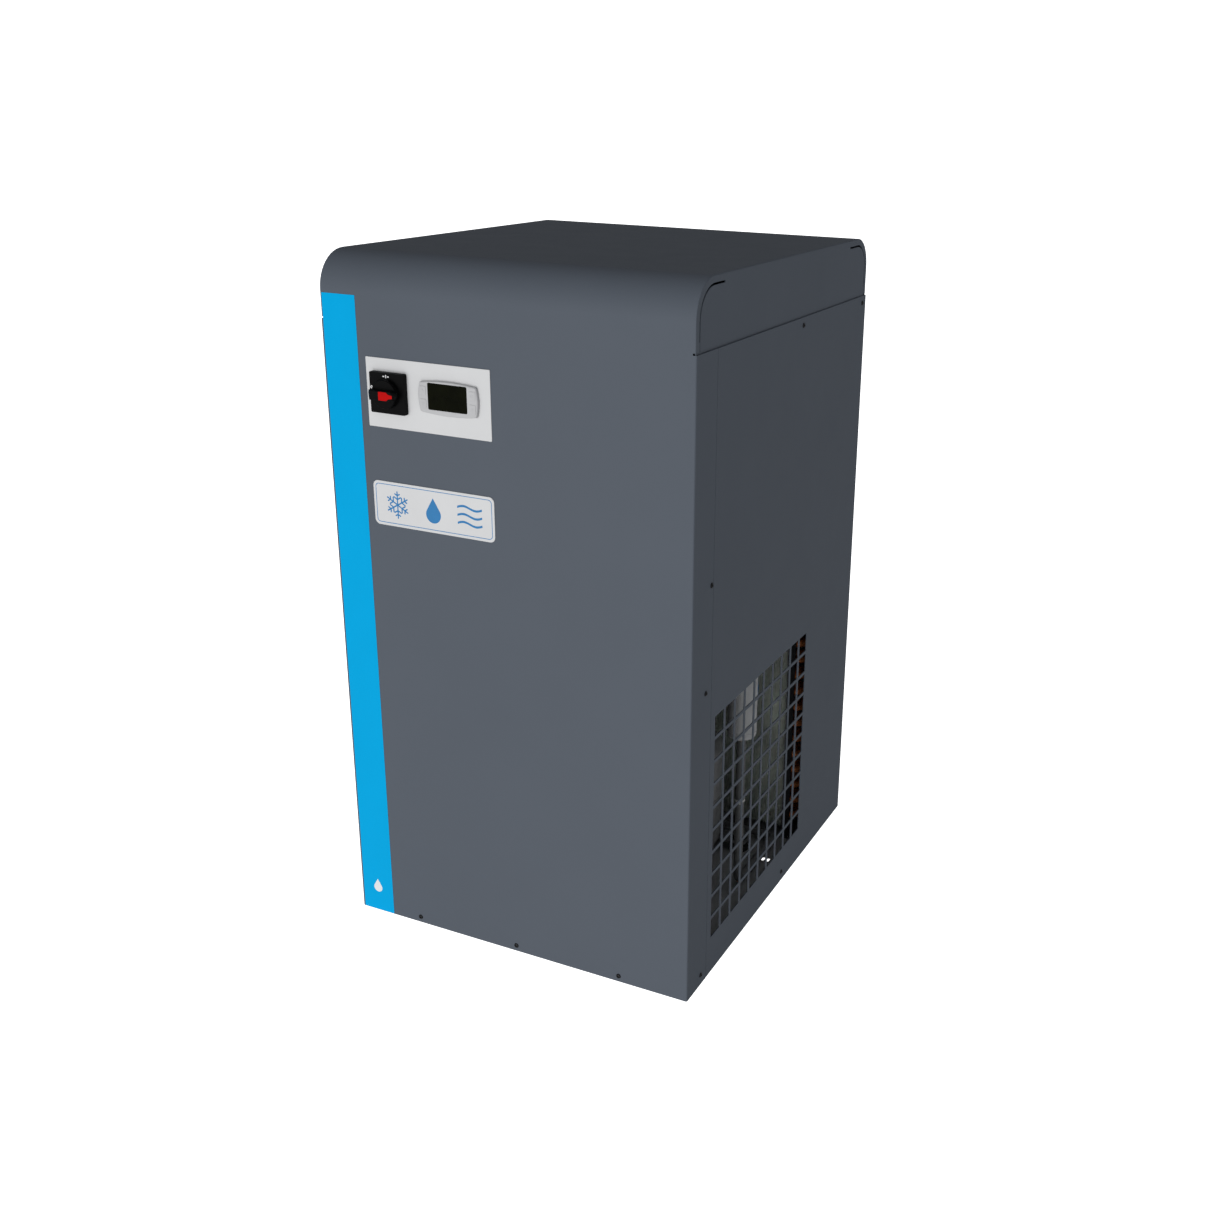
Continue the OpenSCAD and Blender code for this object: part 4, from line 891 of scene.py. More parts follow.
def shroud():
    lo, hi = span("fan_shroud")
    plate_y, ring_r, mouth = 178.0, 128.0, 6.0
    w, h, mid = hi.x - lo.x, hi.z - lo.z, (lo.z + hi.z) / 2
    walls = plate(rectangle(w, h, 2.5, (0, mid)), plate_y - 1.5 - lo.y, 0.3,
                  [rectangle(w - 3, h - 3, 1.2, (0, mid))])
    back = plate(rectangle(w, h, 2.5, (0, mid)), 1.5, 0.3, [ring(ring_r + mouth, (0, FAN_Z), 96)])
    flare = fillet([(ring_r + mouth, 0), (ring_r, 0), (ring_r, hi.y - plate_y + 1.5),
                    (ring_r + 1.5, hi.y - plate_y + 1.5),
                    (ring_r + 1.5, 1.5), (ring_r + mouth, 1.5)], [0, mouth - 0.2, 0.5, 0.5, mouth - 2, 0], 6)
    throat = loop(flare, 96)
    hems = [block((-w / 2 + 8, lo.y - 0.1, z), (w / 2 - 8, lo.y + 1.4, z + 9), 0.3)
            for z in (lo.z + 1.5, hi.z - 10.5)]
    parts = [(put(walls, on("front", (0, plate_y - 1.5, 0))), PAN),
             (put(back, on("front", (0, plate_y, 0))), PAN),
             (put(throat, aim((0, plate_y - 1.5, FAN_Z), (0, 1, 0))), PAN), *[(hem, PAN) for hem in hems]]
    piece("fan_shroud_sheet", parts, ["fan_shroud"])


def fan_motor():
    """Enclosed motor with cooling ribs, its strap and four arms, and a rotor with five twisted blades."""
    lo, hi = span("fan_motor")
    axis = aim((0, lo.y, FAN_Z), (0, 1, 0))
    r, front, back = 40.0, 3.0, hi.y - lo.y - 2.5
    shell = [(0, 0), (16, 0), (16, front), (r - 2, front), (r - 2, back), (12, back), (12, back + 2.5),
             (4.1, back + 2.5)]
    shell = turned(shell, [0, 1, 1, 4, 4, 1, 0.6, 0], 4, 72)
    ribs = [put(block((r - 4, -0.9, front + 4), (r, 0.9, back - 4), 0.4, 1), spun(i, 36))
            for i in range(36)]
    bolts = [put(hexagon(3.4, 2.4, 0.3), shift(30 * cos(a), 30 * sin(a), front - 2.2))
             for a in (0.25 * pi, 0.75 * pi, 1.25 * pi, 1.75 * pi)]
    grommet = put(drum(4, 6, 0.8, 20), aim((0, 28, front - 4.5), (0, 0.5, 1)))
    parts = [(put(s, axis), m) for s,
             m in ((shell, MOTOR), *[(b, MOTOR) for b in ribs], *[(b, ZINC) for b in bolts],
                                            (grommet, RUBBER))]
    piece("fan_motor_ribbed", parts, ["fan_motor"])
    lo, hi = span("fan_motor_bracket")
    axis = aim((0, lo.y, FAN_Z), (0, 1, 0))
    strap = drum(r + 4, hi.y - lo.y, 0.6, 72, r + 0.1)
    parts = [(put(strap, axis), ZINC)]
    for i in range(4):
        turn = Matrix.Rotation(pi / 4 + i * pi / 2, 4, "Z")
        arm = plate(rectangle(101, 12, 5.5, (r + 1 + 50.5, 0)), 3, 0.5, [ring(2.6, (r + 96, 0), 20)])
        rib = block((r + 3.5, -0.8, -4), (r + 60, 0.8, 0.5), 0.3, 1)
        head = put(screw(), shift(r + 96, 0, 0) @ Matrix.Rotation(pi, 4, "X"))
        lift = shift(0, 0, hi.y - lo.y - 3)
        parts += [(put(put(arm, lift), axis @ turn), ZINC), (put(put(rib, lift), axis @ turn), ZINC),
                  (put(put(head, lift), axis @ turn), BLACK_STEEL)]
    piece("fan_motor_arms", parts, ["fan_motor_bracket"])
    piece("fan_blades", rotor(), ["fan_rotor"], body="fan")


def blade(root, tip, middle):
    """Twisted, cambered blade along +X whose leading edge points along +Z; middle is its depth along Y."""
    stations, across = 14, 12
    shape = bmesh.new()
    loops = []
    for i in range(stations):
        t = i / (stations - 1)
        r = root + (tip - root) * t
        pitch = radians(40 - 16 * t)
        chord = (46 + 26 * t) * (1 - 0.30 * max(0, (t - 0.8) / 0.2) ** 3)
        loop = []
        for k in range(2 * across):
            s = cos(pi * k / across) / 2
            thick = (1.5 - 0.5 * t) * max(0.12, (1 - (2 * s) ** 2) ** 0.5)
            n = 4 * (1 - (2 * s) ** 2) - 2 + (thick if k < across else -thick)
            swing = (chord * (s + 0.05 * t) * cos(pitch) + n * sin(pitch)) / r
            y = middle - chord * s * sin(pitch) + n * cos(pitch)
            loop.append(shape.verts.new((r * cos(swing), y, r * sin(swing))))
        loops.append(loop)
    for a, b in zip(loops, loops[1:]):
        for k in range(len(a)):
            shape.faces.new((a[k - 1], a[k], b[k], b[k - 1]))
    shape.faces.new(loops[0][::-1])
    shape.faces.new(loops[-1])
    return clean(shape)


def rotor():
    hub_y, hub_r, length = 192.0, 38.0, 21.0
    axis = aim((0, hub_y, FAN_Z), (0, 1, 0))
    hub = [(4, -6), (11, -6), (11, 0), (hub_r, 0), (hub_r, length), (30, length), (27, length - 4),
           (13, length - 4),
           (11, length), (0, length)]
    hub = turned(hub, [0, 1, 0.5, 1, 4, 1.5, 2, 2, 1.5, 0], 4, 72)
    ribs = [put(block((12, -0.8, length - 4.5), (28, 0.8, length - 1.2), 0.3, 1), spun(i, 10))
            for i in range(10)]
    shaft = put(drum(4, 40, 0.5, 24), shift(0, 0, -36))
    nut = put(hexagon(6, 3, 0.5), shift(0, 0, length - 0.2))
    parts = [(put(s, axis), FAN) for s in (hub, *ribs)] + [(put(s, axis), ZINC) for s in (shaft, nut)]
    blades = copies(blade(hub_r - 1, 122, 203), [shift(0, 0, FAN_Z) @ Matrix.Rotation(2 * pi * i / 5, 4, "Y")
                                                 for i in range(5)])
    return [*parts, (blades, FAN)]


def fan_guard():
    lo, hi = span("fan_guard")
    wire, r_out = 1.5, (hi.x - lo.x) / 2 - 1.5
    rings_y, frame_y = BACK + 4.1, BACK + 1.6
    parts = [put(hoop(r, wire, 96, 10), aim((0, rings_y, FAN_Z), (0, 1, 0))) for r in range(24, 125, 10)]
    parts.append(put(hoop(r_out, wire, 96, 10), aim((0, frame_y, FAN_Z), (0, 1, 0))))
    clips = []
    for i in range(3):
        way = Vector((cos(pi * i / 3), 0, sin(pi * i / 3)))
        middle = Vector((0, frame_y, FAN_Z))
        parts.append(tube([middle - r_out * way, middle + r_out * way], wire, sides=10))
        for s in (-1, 1):
            at = middle + s * (r_out + 1.2) * way
            lug = plate(rectangle(17, 9, 3.5), 1.2, 0.25, [ring(2.3, (4.2, 0), 16)])
            lean = (0 if s > 0 else pi) + pi - pi * i / 3
            turn = on("rear", (at.x, frame_y + 1.0, at.z)) @ Matrix.Rotation(lean, 4, "Z")
            parts.append(put(lug, turn))
            clips.append(put(screw(), turn @ shift(4.2, 0, 1.2)))
    disc = put(turned([(0, 0), (16, 0), (16, 2.5), (13, 4), (0, 4)], [0, 0.8, 1.5, 2, 0], 4, 48),
               aim((0, lo.y + 0.4, FAN_Z), (0, 1, 0)))
    piece("fan_finger_guard",
          [(s, GUARD) for s in (*parts, disc)] + [(c, BLACK_STEEL) for c in clips], ["fan_guard"])


# ---------- compressor ----------

COMP = Vector((72, -12, 0))


def compressor():
    """Hermetic compressor: two overlapping cups with a weld bead, and motor and pump on springs inside."""
    r, wall, z0, seam, top = 70.0, 2.5, 38.0, 130.0, 197.0
    deep = seam - z0
    cup = [(0, 0), (r, 0), (r, deep), (r - wall, deep), (r - wall, wall), (0, wall)]
    cup = turned(cup, [0, 26, 0.3, 0.3, 23.5, 0], 8, 96)
    piece("compressor_lower_cup", [(put(cup, shift(COMP.x, COMP.y, z0)), ENAMEL)],
          ["compressor_shell_lower"])
    R, low = r + wall + 0.1, seam - 12
    high = top - low
    dome = [(0, high), (26, high), (32, high - 2.5), (R, high - 4), (R, 0), (R - wall, 0),
            (R - wall, high - 6.5), (0, high - 5)]
    dome = turned(dome, [0, 3, 4, 30, 0.4, 0.3, 27, 0], 8, 96)
    bead = put(hoop(R - 0.4, 1.5, 96, 10), shift(0, 0, 0.4))
    post = put(drum(6.5, 5, 1.2, 32, 6.0), shift(-12, -8, high - 6))
    stub = tube([(-40, 38, 60), (-40, 38, 84), (-40, 44, 92)], 3.1, 5, 14)
    pinch = block((-42.6, 42.5, 91), (-37.4, 46, 101), 1.0)
    lift = shift(COMP.x, COMP.y, low)
    socket = put(drum(7.5, 8, 1, 32, 4.1), aim((-R - 3, 0, 150 - low), (1, 0, 0)))
    parts = [(dome, ENAMEL), (bead, ENAMEL), (post, ENAMEL), (socket, ENAMEL), (stub, COPPER),
             (pinch, COPPER)]
    piece("compressor_upper_cup", [(put(s, lift), m) for s, m in parts],
          ["compressor_shell_upper"])
    stack = [put(drum(54, 4.4, 0.25, 72), shift(0, 0, 62 + 5 * k)) for k in range(10)]
    core = put(drum(53.4, 49.6, 0.2, 72), shift(0, 0, 62))
    winding = [lathe([(44 + 7 * cos(a), z + 5 * sin(a)) for a in [2 * pi * k / 16 for k in range(17)]], 60)
               for z in (60, 113)]
    case = put(drum(34, 46, 3, 60), shift(0, 0, 112))
    head = block((-46, -18, 116), (46, 18, 148), 4, 3)
    bolts = [put(hexagon(4, 3), aim((45.5 * s, y, z), (s, 0, 0)))
             for s in (-1, 1) for y in (-12, 12) for z in (122, 142)]
    spring = []
    for a in (0.25, 0.75, 1.25, 1.75):
        at = (34 * cos(a * pi), 34 * sin(a * pi))
        turns = [(at[0] + 5 * cos(t), at[1] + 5 * sin(t),
                  42 + 20.5 * t / (10 * pi)) for t in [pi * k / 8 for k in range(81)]]
        spring.append(tube(turns, 0.9, sides=8))
        spring.append(put(drum(3.6, 25, 0.5, 20), shift(*at, 40.6)))
    parts = [(s, IRON) for s in (*stack, core, case, head)] + [(s, COPPER) for s in winding]
    parts += [(s, ZINC) for s in (*bolts, *spring)]
    piece("compressor_motor_pump", [(put(s, Matrix.Translation(COMP)), m) for s, m in parts],
          ["compressor_pump"])


def compressor_mounting():
    spots = [(COMP.x + sx * 76, COMP.y + sy * 60) for sx in (-1, 1) for sy in (-1, 1)]
    parts = []
    for s in (-1, 1):
        y = s * 60 - s
        outline = rectangle(176, 26, 5, (0, y))
        holes = [ring(8, (sx * 76, s * 60), 28) for sx in (-1, 1)]
        parts.append(put(plate(outline, 3, 0.5, holes), shift(COMP.x, COMP.y, 33)))
        edge = [(-62, y + s * 13), (62, y + s * 13), (62, y + s * 10), (-62, y + s * 10)]
        parts.append(put(plate(edge if s < 0 else edge[::-1], 6, 0.8), shift(COMP.x, COMP.y, 33.4)))
        leg = block((s * 36 - 14, -60, 33), (s * 36 + 14, 60, 36), 0.5)
        rib = block((s * 36 - 1.5, -44, 35.5), (s * 36 + 1.5, 44, 38.4), 0.5)
        parts += [put(leg, shift(COMP.x, COMP.y, 0)), put(rib, shift(COMP.x, COMP.y, 0))]
    piece("compressor_foot_plates", [(p, PAN) for p in parts], ["compressor_feet"])
    profile = [(4.3, 0), (12, 0), (12, 3.5), (10.2, 5), (10.2, 7.5), (12, 9), (12, 13), (7.9, 13),
               (7.9, 16.1), (10.5, 16.1),
               (10.5, 20.1), (4.3, 20.1)]
    profile = fillet(profile, [0.3, 0.8, 0.8, 0.8, 0.8, 0.8, 0.8, 0.3, 0.3, 0.6, 1, 0.3], 3)
    grommet = loop(profile, 48)
    piece("compressor_rubber_mounts",
          [(copies(grommet, [shift(x, y, 20) for x, y in spots]), RUBBER)], ["compressor_grommets"])
    bolt = [put(drum(4, 34, 0.6, 24), shift(0, 0, 8.8)),
            put(drum(9, 1.5, 0.3, 36, 4.0), shift(0, 0, 40.2)),
            put(hexagon(7.2, 5.5, 0.7), shift(0, 0, 41.6)),
            put(hexagon(7.2, 6.5, 0.7), shift(0, 0, 11.8))]
    places = [shift(x, y, 0) for x, y in spots]
    piece("compressor_mount_bolts", [(copies(b, places), ZINC) for b in bolt],
          ["compressor_bolts"])
    lo, hi = span("compressor_terminal_cover")
    cover = block(lo, hi, 4, 4)
    cover = combine(cover, [put(drum(70.2, 80, 0.01, 96), shift(COMP.x, COMP.y, 55))])
    slots = [(block((lo.x + 10, lo.y - 0.35, z), (hi.x - 10, lo.y + 1, z + 1.6), 0.3, 1),
              HOUSING) for z in range(74, 96, 4)]
    fixing = put(screw(), on("front", (COMP.x, lo.y, 103)))
    boot = put(turned([(0, 0), (6.5, 0), (5.2, 9), (0, 9)], [0, 0.5, 1, 0], 3, 24),
               aim((hi.x - 12, lo.y + 14, lo.z + 0.5), (0, 0, -1)))
    piece("compressor_terminal_box",
          [(cover, HOUSING), *slots, (fixing, BLACK_STEEL), (boot, RUBBER)], ["compressor_terminal_cover"])


# ---------- refrigerant circuit ----------


def pipe(points, r, bend, material=None, sides=20, joints=True):
    """Bent tube with a brazed cup at each end."""
    parts = [(tube(points, r, bend, sides, 8), material or COPPER)]
    if joints:
        for end, nxt in ((points[0], points[1]), (points[-1], points[-2])):
            way = (Vector(nxt) - Vector(end)).normalized()
            parts.append((sleeve(Vector(end) + way * 0.2, way, r, 8, 0.6), SOLDER))
    return parts


def refrigerant_lines():
    top, z0 = LEVELS[-1], LEVELS[0]
    x_out = -COIL_END - 11
    points = [(COMP.x - 71, COMP.y, 150), (-100, COMP.y, 150), (-100, COMP.y, top), (x_out, COMP.y, top),
              (x_out, ROWS[0], top), (-COIL_END - 0.1, ROWS[0], top)]
    piece("discharge_pipe", pipe(points, 4, 9), ["discharge_line"])
    lo, hi = span("filter_drier")
    drier = (lo + hi) / 2
    points = [(-COIL_END - 0.1, ROWS[1], z0), (x_out, ROWS[1], z0), (x_out, ROWS[1], 30), (x_out, 80, 30),
              (drier.x, 80, 30), (drier.x, drier.y, 30), (drier.x, drier.y, lo.z)]
    wrap = [(0, 80, 30), (drier.x, 80, 30), (drier.x, drier.y, 30), (drier.x, drier.y, lo.z + 9)]
    tie = put(drum(6.2, 2.4, 0.6, 40, 5.0), shift(drier.x, drier.y, 139))
    latch = block((drier.x + 2, drier.y - 9, 138.4), (drier.x + 6.5, drier.y - 5.4, 142), 0.5)
    parts = pipe(points, 4, 9) + [(tube(wrap, 5.2, 12, 24, 8), SLEEVING), (tie, NYLON), (latch, NYLON)]
    piece("liquid_pipe", parts, ["liquid_line"])
    x, y, core = COMP.x - 12, COMP.y - 8, span("exchanger_core")[0].y
    points = [(-60, core - 0.2, 500), (-60, y, 500), (-60, y, 262), (x, y, 262), (x, y, 193)]
    wrap = [(-60, core - 38, 500), *points[1:4], (x, y, 214)]
    parts = pipe(points, 5.9, 14) + [(tube(wrap, 9.5, 16, 24, 8), FOAM)]
    piece("suction_pipe", parts, ["suction_line"])
    z, coil = 440, 20
    turns = [(104 - 16 * k / 128, drier.y + coil * sin(2 * pi * k / 32),
              z - coil + coil * cos(2 * pi * k / 32))
             for k in range(129)]
    rise = fillet([(drier.x, drier.y, hi.z), (drier.x, drier.y, z), (104, drier.y, z)], 8, 6, closed=False)
    away = fillet([(88, drier.y, z), (40, drier.y, z), (40, core - 0.2, z)], 8, 6, closed=False)
    line = rise[:-1] + [Vector(p) for p in turns] + away[1:]
    tie = put(hoop(2.6, 0.9, 20, 8), aim((96, drier.y, z - 2 * coil), (1, 0, 0)))
    joints = [(sleeve((drier.x, drier.y, hi.z - 1), (0, 0, 1), 1.6, 9, 1.4), SOLDER)]
    piece("capillary_coil", [(tube(line, 1.5, sides=12), COPPER), (tie, BLACK), *joints],
          ["capillary_tube"])


def filter_drier():
    lo, hi = span("filter_drier")
    x, y = (lo.x + hi.x) / 2, (lo.y + hi.y) / 2
    r, low, high = 17, lo.z + 10, hi.z - 10
    line = [(0, low), (r, low), (r, high - 14), (5.4, high - 4), (4.4, high), (0, high)]
    shell = turned(line, [0, 6, 9, 4, 0.6, 0], 6, 64)
    groove = [hoop(r - 0.1, 0.7, 64, 8) for _ in range(2)]
    parts = [(shell, DRIER), (put(groove[0], shift(0, 0, low + 9)), DRIER),
             (put(groove[1], shift(0, 0, high - 17)), DRIER)]
    arrow = [(-1.6, 0), (1.6, 0), (1.6, 14), (4.6, 14), (0, 23), (-4.6, 14), (-1.6, 14)]
    way = Vector((cos(radians(30)), sin(radians(30)), 0))
    place = Matrix((Vector((0, 0, 1)).cross(way), (0, 0, 1), way)).transposed().to_4x4()
    place.translation = way * (r - 0.62) + Vector((0, 0, (low + high) / 2 - 11))
    parts.append((put(plate(arrow, 0.9, 0.05, steps=1), place), PRINT_BLUE))
    parts += [(tube([(0, 0, lo.z), (0, 0, low + 1)], 4.9), COPPER),
              (tube([(0, 0, high - 1), (0, 0, hi.z)], 4), COPPER),
              (sleeve((0, 0, low + 0.5), (0, 0, -1), 4.9, 5), SOLDER),
              (sleeve((0, 0, high - 1.5), (0, 0, 1), 4, 5), SOLDER)]
    piece("filter_drier_shell", [(put(s, shift(x, y, 0)), m) for s, m in parts],
          ["filter_drier"])


def hot_gas_valve():
    x, y, z0 = -150, COMP.y, 378
    top = LEVELS[-1] + 4.1
    body = [(0, 0), (9, 0), (9, 3), (13, 5), (13, 30), (11, 32), (11, 40), (0, 40)]
    body = put(turned(body, [0, 0.8, 0.8, 1.5, 1.5, 1, 1, 0], 3, 48), shift(x, y, z0))
    band = [put(hoop(12.9, 0.5, 48, 8), shift(x, y, z0 + h)) for h in (9, 26)]
    cap = put(hexagon(9, 12, 0.8), shift(x, y, z0 + 39.9))
    knob = put(drum(5.5, 2.2, 0.7, 32), shift(x, y, z0 + 51.8))
    core = span("exchanger_core")[0].y
    side = [(x, y + 12, z0 + 24), (x, 22, z0 + 24), (-105, 22, z0 + 24), (-105, core - 0.2, z0 + 24)]
    parts = [(s, BRASS) for s in (body, *band, cap, knob)]
    parts += pipe([(x, y, top), (x, y, z0)], 3, 0) + pipe(side, 3, 8)
    piece("hot_gas_bypass_valve", parts, ["hot_gas_valve"])


# ---------- air side and drain ----------


def air_ports():
    """Aluminium pipes from the exchanger to tapped sockets that stand out of the rear panel."""
    depth, bore, pipe_bore, length, pitch = 18.5, 12.06, 11.0, 24, 1.814
    crest = length - 1.4
    thread = [(bore + 1.3, length), (bore, crest)]
    for k in range(1, 9):
        root = length - k * pitch
        thread += [(bore, root - 0.35), (bore + 1.05, root - 0.8), (bore + 1.05, root - 1.0),
                   (bore, root - 1.5)]
    wall = fillet([(SOCKET_R - 0.8, length), (SOCKET_R, length - 0.8), (SOCKET_R, 0), (14.2, -3),
                   (pipe_bore, -3)],
                  [0, 0.2, 0.6, 1.5, 0], 3, closed=False)
    profile = [(pipe_bore, -3), (pipe_bore, length - depth), (bore, length - depth), *thread[::-1], *wall]
    for name, x in zip(("air_inlet_pipe", "air_outlet_pipe"), PORT_X):
        lo, hi = span(name)
        socket = hi.y - length
        run = tube([(x, 120, lo.z), (x, 120, PORT_Z), (x, socket - 1, PORT_Z)], 14, 24, 40, 12)
        run = combine(run, [put(drum(pipe_bore, 70, 0.01, 64), aim((x, socket - 70, PORT_Z), (0, 1, 0)))])
        body = lathe(profile, 64)
        nut = plate(ring(20.5, steps=6, start=radians(30)), 12, 1.0, [ring(SOCKET_R - 1, steps=48)], 3)
        bush = drum(SOCKET_R + 1.9, 2.4, 0.4, 64, SOCKET_R - 1)
        axis = aim((x, socket, PORT_Z), (0, 1, 0))
        parts = [(run, ALUMINIUM), (put(body, axis), ALUMINIUM),
                 (put(put(nut, shift(0, 0, BACK + 4 - socket)), axis), ALUMINIUM),
                 (put(put(bush, shift(0, 0, BACK - socket - 1.8)), axis), RUBBER),
                 (sleeve((x, 120, lo.z), (0, 0, 1), 14, 7, 1.2), ALUMINIUM)]
        piece(name + "_threaded", parts, [name])


def cable_gland():
    lo, hi = span("cable_gland")
    middle = (lo + hi) / 2
    thread = []
    for k in range(8):
        thread += [(8.0, 0.6 + 1.5 * k), (7.2, 1.35 + 1.5 * k)]
    body = [(4.5, 0), (7.4, 0), *thread, (8, 13), (8, 19), (9.5, 19), (9.5, 26.5), (6.5, 31), (4.5, 31)]
    body = loop(body, 48)
    hexes = [put(plate(ring(11.5, steps=6), h, 0.6, [ring(7.6, steps=32)]), shift(0, 0, z))
             for h, z in ((5, 13), (4, 13 - SHEET - 4.3))]
    ribs = [put(block((8.9, -0.7, 19.6), (10.1, 0.7, 26.5), 0.25, 1), spun(i, 18)) for i in range(18)]
    seal = put(drum(5.4, 4, 0.8, 40, 3.2), shift(0, 0, 27.4))
    axis = aim((middle.x, BACK - 13, middle.z), (0, 1, 0))
    parts = [(put(s, axis), BLACK) for s in (body, *hexes, *ribs)] + [(put(seal, axis), RUBBER)]
    piece("cable_gland_ribbed", parts, ["cable_gland"])


def drain():
    lo, hi = span("drain_isolating_valve")
    x, y, z = 126, 100, 385
    axis = aim((lo.x, y, z), (1, 0, 0))
    body = [(5, 0), (8, 0), (8, 20), (9.5, 22), (13, 26), (13, 44), (9.5, 48), (8, 50), (8, hi.x - lo.x),
            (5, hi.x - lo.x)]
    offset = x - lo.x - 35
    body = [(r, h if h < 15 or h > 60 else h + offset) for r, h in body]
    body = fillet(body, [0.3, 0.8, 1, 2, 3, 3, 2, 1, 0.8, 0.3], 3)
    parts = [(put(loop(body, 48), axis), BRASS)]
    for at in (x - 20, x + 11):
        nut = plate(ring(12, steps=6), 9, 0.8, [ring(7.8, steps=32)], 3)
        parts.append((put(nut, aim((at, y, z), (1, 0, 0))), BRASS))
    stem = fillet([(3.06, 0), (7, 0), (7, 7), (6, 7.5), (6, 17.7), (3.06, 17.7)], [0, 0, 0.6, 0.4, 0.5, 0.2],
                  3)
    parts.append((put(loop(stem, 32), shift(x, y, z)), BRASS))
    piece("drain_ball_valve", parts, ["drain_isolating_valve"])
    lever_z = 403
    arm = [(x - 6, y - 6), (x + 6, y - 6), (x + 12, y - 4.5), (x + 36, y - 4.5), (x + 36, y + 4.5),
           (x + 12, y + 4.5),
           (x + 6, y + 6), (x - 6, y + 6)]
    arm = put(plate(fillet(arm, [5.5, 2, 4, 4.2, 4.2, 4, 2, 5.5], 5), 1.8, 0.4, [ring(2.4, (x, y), 20)]),
              shift(0, 0, lever_z))
    grip = block((x + 13, y - 4.9, lever_z - 0.5), (x + 36.2, y + 4.9, lever_z + 2.7), 1.3, 3)
    nut = put(hexagon(4.6, 2.6, 0.4), shift(x, y, lever_z + 1.7))
    pin = put(drum(3, 9.5, 0.4, 24), shift(x, y, lever_z - 8.5))
    piece("drain_lever_arm", [(arm, ZINC), (pin, ZINC), (nut, ZINC), (grip, RED)],
          ["drain_valve_lever"], body="drain_lever")
    sx, sy = 165, y + 52
    ends = [(5, 0), (8, 0), (9, 1), (9, 31), (8, 32), (5, 32)]
    trunk = put(lathe(fillet(ends, [0.3, 0.3, 0.5, 0.5, 0.3, 0.3], 3) + [Vector((5, 0))], 40),
                aim((sx, sy - 16, z), (0, 1, 0)))
    seat = put(drum(11, 10, 1.2, 40), shift(sx, sy, z + 4))
    stem = put(drum(6, 52, 0.8, 32), shift(sx, sy, z))
    coil = block((sx - 17, sy - 14, z + 14), (sx + 15, sy + 14, z + 46), 4, 4)
    yoke = [block((sx - 15, sy - 14.6, z + 13.2), (sx + 13, sy + 14.6, z + 15), 0.4, 1),
            block((sx - 15, sy - 14.6, z + 45), (sx + 13, sy + 14.6, z + 46.8), 0.4, 1)]
    plug = block((sx - 15.5, sy - 15.5, z + 19), (sx - 2, sy - 12, z + 41), 1.5, 3)
    collar = fillet([(4.4, 0), (9, 0), (9, 8), (4.4, 8)], [0, 1, 1.4, 0.4], 4)
    collar = put(loop(collar, 40), shift(sx, sy, z + 52))
    nut = put(hexagon(8.5, 4.5, 0.6), shift(sx, sy, z + 47))
    parts = [(trunk, BRASS), (seat, BRASS), (stem, ZINC), (coil, HOUSING), (plug, HOUSING), (collar, BLACK),
             (nut, ZINC)]
    parts += [(s, ZINC) for s in yoke]
    piece("drain_solenoid", parts, ["drain_solenoid_valve"])
    button = fillet([(0, 0), (4, 0), (4, 8), (0, 7.4)], [0, 0.3, 1.2, 0], 4, closed=False)
    piece("drain_push_button", [(put(lathe(button, 36), shift(sx, sy, z + 55)), RED)],
          ["drain_test_button"], body="drain_button")
    rear = span("drain_pipe")[1].y
    first = [(x + 20.2, y, z), (sx, y, z), (sx, y + 35.8, z)]
    parts = pipe(first, 6, 12) + pipe([(sx, y + 68.2, z), (sx, rear, z)], 5, 0)
    piece("drain_copper_pipe", parts, ["drain_pipe"])
    body = [(3, 0), (7, 0), (7, 22), (8.5, 22), (8.5, 33), (7.6, 35), (5.6, 35), (4.05, 33.6), (4.05, 20),
            (3, 20)]
    body = fillet(body, [0.2, 0.5, 0.2, 0.5, 1, 0.4, 0.3, 0.3, 0.1, 0.1], 3)
    hexes = [put(plate(ring(10.5, steps=6), h, 0.6, [ring(6.8, steps=32)]), shift(0, 0, at))
             for h, at in ((5, 17), (4, 17 - SHEET - 4.3))]
    grips = [put(block((8.2, -0.5, 24), (8.95, 0.5, 31), 0.2, 1), spun(i, 20)) for i in range(20)]
    collet = fillet([(4.1, 33), (6.8, 33), (6.8, 35.6), (4.1, 35.6)], [0, 0.2, 0.5, 0.4], 3)
    collet = loop(collet, 40)
    axis = aim((sx, BACK - 17, z), (0, 1, 0))
    parts = [(put(s, axis), NYLON) for s in (loop(body, 48), *hexes, *grips)] + [(put(collet, axis), BLUE)]
    piece("drain_push_fitting", parts, ["drain_outlet_fitting"])


# ---------- CAD nodes that keep their shape ----------


def dress(node, material, edge=0.0):
    """Gives a CAD node its material, welds its seams and rounds its edges, in millimetres."""
    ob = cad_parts[node]
    ob.data.materials.clear()
    ob.data.materials.append(material)
    ob.data.polygons.foreach_set("material_index", [0] * len(ob.data.polygons))
    weld = ob.modifiers.new("weld", "WELD")
    weld.merge_threshold = 2e-6
    if edge:
        rounded = ob.modifiers.new("edges", "BEVEL")
        rounded.width = edge * MM
        rounded.segments = 2
        rounded.limit_method = "ANGLE"
        rounded.angle_limit = radians(50)
        rounded.use_clamp_overlap = True


DRESSED = {
    "base_pan": (GALVANISED, 0.3),
    "component_shelf": (ZINC, 0.3),
    "mains_switch_body": (HOUSING, 0.6),
    "mains_switch_spindle": (ZINC, 0),
    "controller_body": (HOUSING, 0.8),
    "electrical_box": (BOX, 0.6),
    "electrical_cover": (BOX, 0.6),
    "terminal_block": (TERMINAL, 0.3),
    "exchanger_core": (ALUMINIUM, 0.4),
    "insulation_lower": (FOAM, 1.5),
    "insulation_upper": (FOAM, 1.5),
}

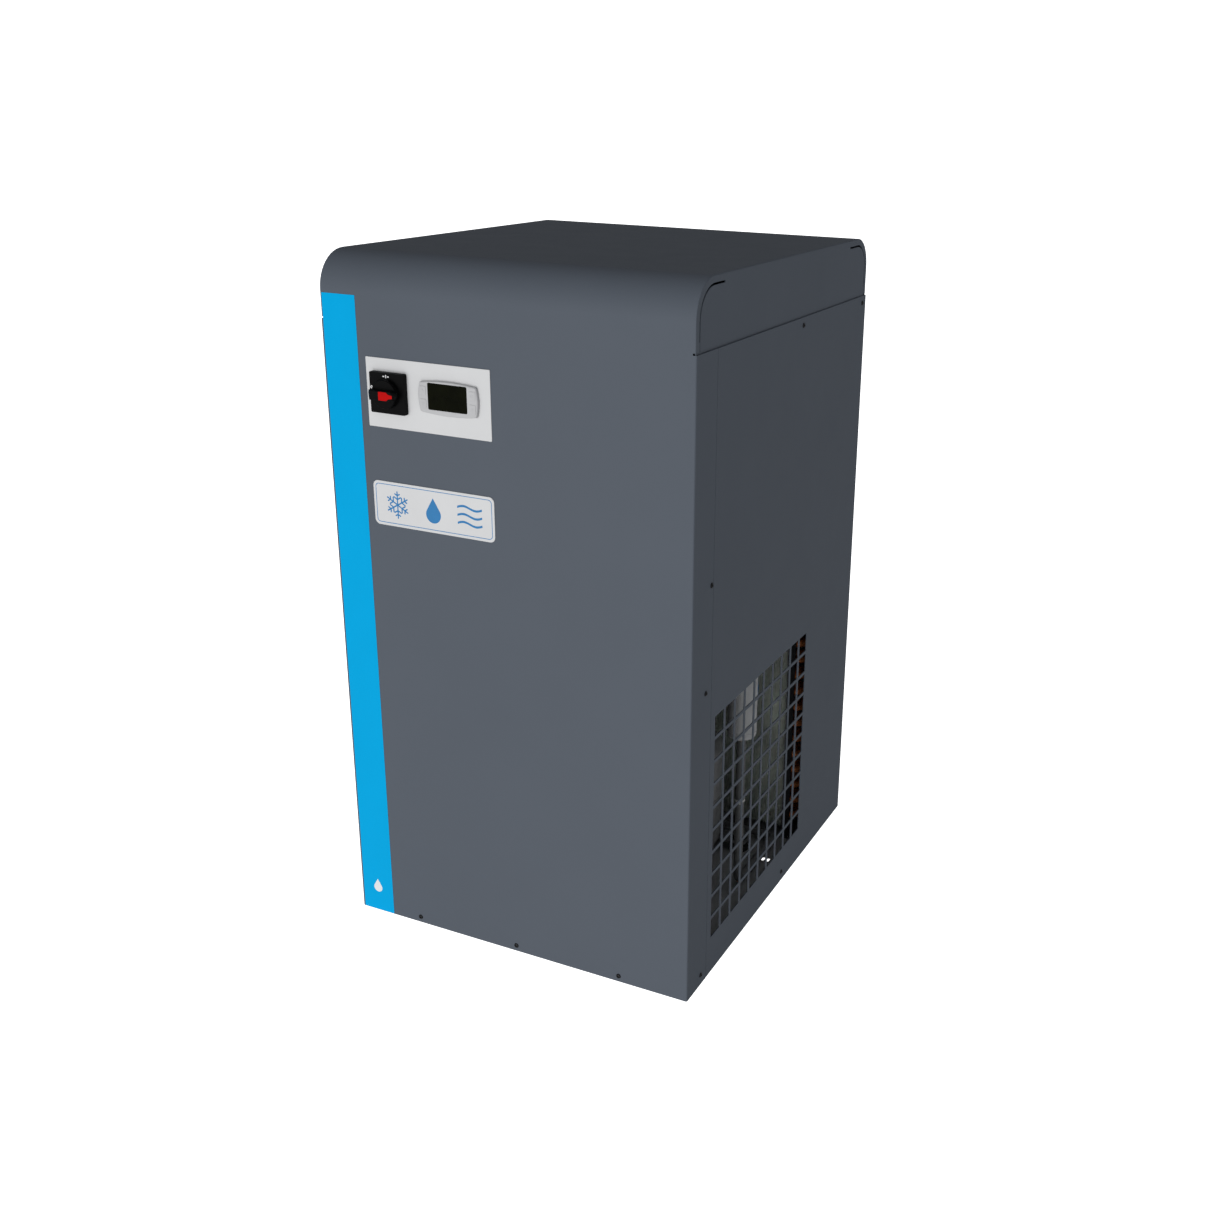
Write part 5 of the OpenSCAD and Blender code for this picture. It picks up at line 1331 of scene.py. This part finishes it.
camera()
light()
floor()
hood()
side_panels()
rear_panel()
screws()
colour_strip()
fascia()
badge()
mains_switch()
controller()
condenser()
shroud()
fan_motor()
fan_guard()
compressor()
compressor_mounting()
refrigerant_lines()
filter_drier()
hot_gas_valve()
air_ports()
cable_gland()
drain()
for node, (finish, edge) in DRESSED.items():
    dress(node, finish, edge)
